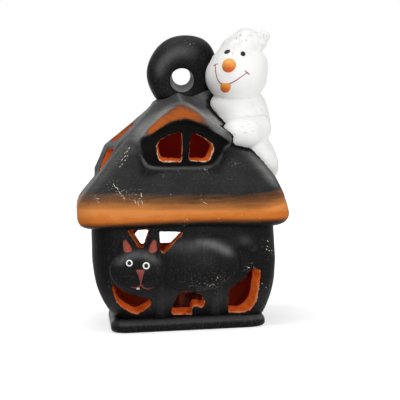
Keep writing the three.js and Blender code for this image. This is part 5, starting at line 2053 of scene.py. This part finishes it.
@dataclass
class Ghost:
    """The white ghost on the right slope: a round head with a folded tip, belly, arm and robe."""

    roof: Roof
    head_at: Point = (38.2, -14.5, 156.0)
    head_size: Point = (19.4, 18.6, 17.3)
    figure_box: Box = ((16.0, -41.0, 86.0), (66.0, 9.0, 188.0))
    cell: float = 0.45

    def head(self, points: Array) -> Array:
        """The head, running up into the folded tip.

        Args:
            points: Places.

        Returns:
            Distances.
        """
        ball = ellipsoid(points, self.head_at, self.head_size)
        ball = blend_union(ball, ellipsoid(points, (44.0, -13.0, 162.6), (14.6, 14.6, 12.4)), 3.0)
        path = [(37.0, -14.5, 163.5), (40.0, -14.0, 170.6), (45.6, -13.2, 177.4), (52.6, -12.2, 177.0)]
        tip = limb(points, np.array(path), [14.2, 11.0, 8.0, 5.9], 3.0)
        flick = limb(points, np.array([(53.4, -12.0, 178.0), (57.2, -12.0, 180.8)]), [4.8, 3.7])
        return blend_union(ball, blend_union(tip, flick, 1.5), 1.6)

    def belly(self, points: Array) -> Array:
        """The belly and the chest under the chin."""
        torso = ellipsoid(points, (40.6, -10.0, 127.5), (18.6, 16.0, 19.0))
        return blend_union(torso, ellipsoid(points, (38.4, -12.0, 138.4), (17.4, 13.5, 10.6)), 5.0)

    def arm(self, points: Array) -> Array:
        """The arm laid across the belly."""
        path = np.array([(35.2, -30.2, 120.8), (41.2, -28.8, 120.4), (50.0, -19.8, 122.4)])
        return limb(points, path, [8.6, 9.1, 8.4], 2.0)

    def trunk(self, points: Array) -> Array:
        """The belly with the arm across it, and the robe that lies on the slope.

        Args:
            points: Places.

        Returns:
            Distances.
        """
        robe = ellipsoid(points, (48.8, -11.0, 108.4), (20.5, 17.5, 11.0), 0.95)
        softness = 0.7 + 3.5 * ease(points[:, 0], 43.0, 54.0)
        sleeve = blend_union(self.belly(points), self.arm(points), softness)
        return blend_union(sleeve, robe, 3.4)

    def shape(self, points: Array) -> Array:
        """The whole figure, kept out of the roof's hollow.

        Args:
            points: Places.

        Returns:
            Distances.
        """
        body = blend_union(self.head(points), self.trunk(points), 1.4)
        body = body + 0.14 * lumps(points, 19.0, 1.9) + 0.05 * lumps(points, 6.0, 0.3)
        return np.maximum(body, -self.roof.painted(points) - 2.0)

    def folds(self, points: Array) -> Array:
        """How close a place lies to a fold: a bell where two forms are equally far.

        Args:
            points: Places.

        Returns:
            Shares from 0 upwards.
        """
        neck = bell(self.head(points) - self.trunk(points), 0.0, 1.1)
        crease = bell(self.belly(points) - self.arm(points), 0.0, 0.8)
        return np.maximum(0.8 * neck, crease * ease(points[:, 1], -14.0, -20.0))

    def build(self, white: Material) -> None:
        """Makes the figure without its nose and tongue.

        Args:
            white: The figure's finish.
        """
        points, quads = field_surface(self.shape, self.figure_box, self.cell)
        measures = {
            "seam": np.clip(in_parts(self.roof.painted, points), -2.0, 20.0),
            "fold": in_parts(self.folds, points),
        }
        piece = Piece("ghost_figure", points, quads, measures=measures)
        nodes = ["ghost_head", "ghost_hood", "ghost_torso", "ghost_arm", "ghost_robe"]
        piece.make(Body.ROOF, Slot.WHITE, white, nodes)

    def pebble(self, centre: Point, radii: Point) -> Array:
        """An uneven ball: an ellipsoid on latitude and longitude, pushed by lumps.

        Args:
            centre: Its middle.
            radii: Half axes.

        Returns:
            Loops from its front to its back.
        """
        height = np.linspace(0.02, math.pi - 0.02, 22)[:, None]
        angle = full_turn(32)
        x, z = np.sin(height) * np.cos(angle), np.sin(height) * np.sin(angle)
        ball = loops(x, -np.cos(height), z) * radii
        push = 1.0 + 0.03 * lumps(ball.reshape(-1, 3) + centre, 5.0, 0.5)
        return centre + ball * push.reshape(x.shape)[..., None]

    def dress(self) -> None:
        """Adds the nose and the tongue, paints the eyes and the mouth, and scratches the paint."""
        # painted light and shade: the nose, tongue and eye daubs are lighter at the top and darker at the
        # bottom
        light, dark = (0.92, 0.44, 0.10), (0.74, 0.13, 0.012)
        nose = DaubedPaint("ghost_nose_orange", light, dark, 158.0, 166.0).material()
        tongue = DaubedPaint("ghost_tongue_orange", (0.84, 0.30, 0.05), dark, 145.0, 151.5).material()
        jet, shade_tone = (0.012, 0.012, 0.013), (0.006, 0.006, 0.007)
        black = DaubedPaint("ghost_eye_black", jet, shade_tone, 165, 173, 0.34, 0.2).material()
        red, brown = (0.42, 0.10, 0.05), (0.25, 0.045, 0.02)
        line = DaubedPaint("ghost_mouth_line", red, brown, 150, 166, 0.5).material()
        ball = tube_piece("ghost_button_nose", self.pebble((32.3, -30.0, 161.9), (4.5, 4.2, 4.7)))
        ball.make(Body.ROOF, Slot.ORANGE, nose, ["ghost_nose"])
        drop = [
            (26.6, 151.6), (29.6, 151.4), (32.8, 151.5), (32.9, 147.6), (31.0, 145.4), (28.2, 145.5),
            (26.4, 147.8),
        ]
        lens = paint_patch(self.head, rounded_outline(drop), HEAD_START, 1.1)
        tube_piece("ghost_painted_tongue", lens).make(Body.ROOF, Slot.ORANGE, tongue, ["ghost_tongue"])
        left, right = oval((32.0, 171.0), 2.1, 1.3, 0.5), oval((41.5, 169.3), 1.75, 1.75)
        for name, outline in (("ghost_left_eye", left), ("ghost_right_eye", right)):
            eye = paint_patch(self.head, outline, HEAD_START, 0.35)
            tube_piece(name, eye).make(Body.ROOF, Slot.BLACK, black)
        self.scratch()
        smile = [
            (24.3, 163.0), (24.2, 158.5), (25.1, 154.0), (27.2, 151.2), (31.0, 150.7), (35.2, 152.4),
            (38.6, 154.6), (42.8, 157.1),
        ]
        left_tick = [(23.0, 162.4), (24.4, 163.2), (25.9, 163.4)]
        right_tick = [(41.4, 158.5), (43.0, 157.4), (44.4, 156.1)]
        for name, path, width in (
            ("ghost_smile", smile, (0.5, 0.42, 0.42, 0.42, 0.4, 0.34, 0.28, 0.26)),
            ("ghost_smile_left_tick", left_tick, (0.35, 0.45, 0.3)),
            ("ghost_smile_right_tick", right_tick, (0.3, 0.4, 0.35)),
        ):
            rows = paint_line(self.head, path, width, HEAD_START)
            tube_piece(name, rows).make(Body.ROOF, Slot.ORANGE, line)

    def scratch(self) -> None:
        """Scratches the paint on the head and smudges it on the body."""
        pale, dull = (0.66, 0.66, 0.67), (0.50, 0.50, 0.51)
        smudge = DaubedPaint("ghost_smudge", pale, dull, 118, 138, 0.7).material()
        light, dark = (0.40, 0.40, 0.41), (0.24, 0.24, 0.25)
        grey = DaubedPaint("ghost_scratch_grey", light, dark, 166, 186, 0.7).material()
        head_marks = [
            (36.2, 172.4, 36.5, 174.4), (34.0, 176.2, 35.0, 178.2), (40.6, 180.4, 41.8, 182.0),
            (43.6, 178.4, 45.0, 177.2), (46.0, 180.6, 47.8, 181.6), (48.4, 182.4, 49.0, 181.0),
            (56.2, 180.0, 56.9, 182.4), (34.6, 170.0, 35.3, 169.2), (58.0, 181.8, 58.6, 180.2),
            (38.0, 178.0, 38.6, 180.0),
        ]
        body_marks = [
            (37.0, 124.2, 39.6, 124.0), (40.6, 125.5, 43.0, 125.2), (38.4, 120.6, 41.2, 120.3),
            (43.6, 121.5, 45.6, 121.0), (42.0, 131.4, 43.2, 130.6), (42.8, 130.4, 43.8, 130.9),
            (47.0, 137.6, 47.6, 136.8), (33.0, 134.0, 33.8, 133.4),
        ]
        head, body, thin = "ghost_scratch_{}", "ghost_body_scratch_{}", (0.06, 0.16, 0.06)
        on_head = Scratches(head, self.head, HEAD_START, (0.08, 0.2, 0.08), 0.06, (0.2, 0.2))
        on_body = Scratches(body, self.trunk, TRUNK_START, thin, 0.05, (0.15, 0.15))
        on_head.make(head_marks, Body.ROOF, Slot.WHITE, grey)
        on_body.make(body_marks, Body.ROOF, Slot.WHITE, smudge)


@dataclass
class Tealight:
    """The candle that the lantern holds: a fluted cup, wax with a shallow dish, and a wick."""

    floor: float = 7.3
    radius: float = 19.0
    height: float = 14.0
    sheet: float = 0.5
    wax_height: float = 11.5
    dish: float = 1.0
    wick: float = 0.8
    wick_height: float = 20.0

    def lifted(self, rows: Array) -> Array:
        """Sets loops down on the floor."""
        return rows + (0.0, 0.0, self.floor)

    def build(self, metal: Material, wax: Material, cotton: Material) -> None:
        """Turns the cup, the wax and the wick.

        Args:
            metal: The cup's finish.
            wax: The candle's finish.
            cotton: The wick's finish.
        """
        r, s, h = self.radius, self.sheet, self.height
        cup = [
            (0.01, 0.0), (r * 0.5, 0.0), (r - 1.6, 0.0), (r - 0.8, 0.5), (r - 0.4, 1.6), (r - 0.4, 5.0),
            (r - 0.35, 9.0), (r - 0.3, h - 1.2), (r - 0.02, h - 0.5), (r - 0.1, h - 0.05),
            (r - 0.5, h - 0.1), (r - s - 0.35, h - 1.2), (r - s - 0.4, 9.0), (r - s - 0.4, 5.0),
            (r - s - 0.45, 1.6), (r - s - 1.2, s), (r * 0.5, s), (0.01, s),
        ]
        metal_cup = tube_piece("cup_of_thin_sheet", self.lifted(turned_loops(cup, 144, 36, 0.12)))
        metal_cup.make(Body.TEALIGHT, Slot.CUP, metal, ["tealight_cup"])
        edge, top, bottom = r - s - 0.9, self.wax_height, 1.8
        share = np.linspace(1.0, 0.06, 12)
        bowl = zip(edge * share, top - self.dish * (1 - share**2))
        side = [(edge + 0.1, top * 0.5), (edge + 0.1, top - 0.5)]
        body = [(1.2, bottom), (edge * 0.6, bottom), (edge, bottom), *side, *bowl]
        block = tube_piece("paraffin_block", self.lifted(turned_loops(body, 96)))
        block.make(Body.TEALIGHT, Slot.WAX, wax, ["tealight_wax"])
        t, angle, foot = np.linspace(0.0, 1.0, 60)[:, None], full_turn(18), 1.0
        strand = self.wick * (0.86 + 0.13 * np.abs(np.cos(1.5 * (angle + 26.0 * t))))
        strand[-1] *= 0.45
        height = foot + t * (self.wick_height - foot)
        rows = loops(strand * np.cos(angle), strand * np.sin(angle), height)
        tube_piece("twisted_wick", self.lifted(rows)).make(Body.TEALIGHT, Slot.WICK, cotton, ["wick"])


# Stage


@dataclass(frozen=True)
class Studio:
    """A pale floor, soft light from above and the camera at the photograph's angle."""

    azimuth: float = -5.0
    elevation: float = 3.0
    distance: float = 900.0
    roll: float = 2.1
    scale: float = 0.64
    target: Point = (0.0, 0.0, 95.0)
    target_px: Place = (177.7, 174.6)
    image: float = 400.0
    sensor: float = 36.0
    clip: Place = (0.05, 20.0)
    lamp_target: Point = (0.0, 0.0, 0.09)
    floor_half: float = 6.0

    def camera(self) -> None:
        """Sets the camera so that the target lands on its pixel at the given scale."""
        a, e, q = (math.radians(v) for v in (self.azimuth, self.elevation, self.roll))
        back = Vector((math.sin(a) * math.cos(e), -math.cos(a) * math.cos(e), math.sin(e)))
        level = Vector((math.cos(a), math.sin(a), 0.0))
        rise = back.cross(level)
        right = level * math.cos(q) - rise * math.sin(q)
        up = rise * math.cos(q) + level * math.sin(q)
        half = self.image / 2
        shift_x = (self.target_px[0] - half) * self.scale
        shift_y = (half - self.target_px[1]) * self.scale
        aside = right * shift_x + up * shift_y
        place = (Vector(self.target) + back * self.distance - aside) * MM
        data = bpy.data.cameras.new("camera")
        data.sensor_width = self.sensor
        data.lens = self.sensor * self.distance / (self.scale * self.image)
        data.clip_start, data.clip_end = self.clip
        thing = bpy.data.objects.new("camera", data)
        turn = Matrix((right, up, back)).transposed().to_4x4()
        thing.matrix_world = Matrix.Translation(place) @ turn
        bpy.context.scene.collection.objects.link(thing)
        bpy.context.scene.camera = thing

    def lamp(self, name: str, place: Point, size: float, power: float) -> None:
        """Adds one square soft lamp that looks at the lantern.

        Args:
            name: The lamp's name.
            place: Where it stands, in metres.
            size: Length of its side in metres.
            power: Its power in watts.
        """
        data = bpy.data.lights.new(name, "AREA")
        data.size = size
        data.energy = power
        thing = bpy.data.objects.new(name, data)
        turn = (Vector(place) - Vector(self.lamp_target)).to_track_quat("Z", "Y").to_matrix()
        thing.matrix_world = Matrix.Translation(place) @ turn.to_4x4()
        bpy.context.scene.collection.objects.link(thing)

    def floor(self) -> None:
        """A wide pale floor that shows white to the camera and keeps the shadow."""
        mesh = bpy.data.meshes.new("floor")
        half = self.floor_half
        corners = [(-half, -half, 0), (half, -half, 0), (half, half, 0), (-half, half, 0)]
        mesh.from_pydata(corners, [], [(0, 1, 2, 3)])
        recipe = Recipe("floor_white")
        span = recipe.node("VectorMath", ("operation", "LENGTH"), Vector=recipe.place)
        glow = recipe.climb(span.outputs["Value"], 0.2, 0.7, 0.6, 1.0)
        shown = {"Emission_Strength": recipe.times(recipe.seen(), glow), "Emission_Color": WHITE_LIGHT}
        mesh.materials.append(recipe.done((0.84, 0.84, 0.84), 0.9, Specular_IOR_Level=0.0, **shown))
        thing = bpy.data.objects.new("floor", mesh)
        bpy.context.scene.collection.objects.link(thing)

    def world(self) -> None:
        """An even grey light all round that shows white to the camera."""
        world = bpy.data.worlds.new("studio")
        bpy.context.scene.world = world
        world.use_nodes = True
        nodes = Nodes(world.node_tree)
        span = nodes.node("MapRange", Value=nodes.seen(), To_Min=0.3, To_Max=1.0)
        shade = nodes.tree.nodes["Background"]
        nodes.feed(shade.inputs["Strength"], span.outputs[0])
        nodes.feed(shade.inputs["Color"], WHITE_LIGHT)

    def build(self) -> None:
        """Sets up camera, floor and light."""
        bpy.context.scene.view_settings.view_transform = "Standard"
        self.camera()
        self.floor()
        self.world()
        self.lamp("overhead", (-0.20, -0.25, 0.95), 0.6, 3.45)
        self.lamp("front_fill", (-0.10, -1.15, 0.30), 0.8, 3.5)
        self.lamp("right_fill", (0.75, -0.75, 0.20), 0.6, 3.8)


def main() -> None:
    """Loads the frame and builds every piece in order."""
    logging.basicConfig(level=logging.INFO, format="%(name)s %(message)s")
    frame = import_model()
    Studio().build()
    house = House()
    wall_clay = CharcoalClay("wall_clay", (460.0, 460.0, 60.0), inner=(0.78, 0.125, 0.034))
    house.build(wall_clay.material())
    house.dress()
    roof = Roof()
    ghost = Ghost(roof)
    roof_clay = CharcoalClay("roof_clay", (60.0, 60.0, 520.0), grey=(0.27, 0.27, 0.265))
    roof.build(roof_clay.material(), ghost.trunk)
    roof.dress()
    ring_clay = CharcoalClay("ring_clay", (130.0, 130.0, 130.0), grey=(0.27, 0.27, 0.267))
    Ring().build(ring_clay.material())
    ghost.build(GhostWhite().material())
    ghost.dress()
    metal = Aluminium("cup_aluminium").material()
    Tealight().build(metal, Paraffin().material(), Cotton().material())
    sustainer = frame["nodes"]["wick_sustainer"]
    sustainer.data.materials.clear()
    sustainer.data.materials.append(Aluminium("sustainer_aluminium").material())


if __name__ == "__main__":
    main()
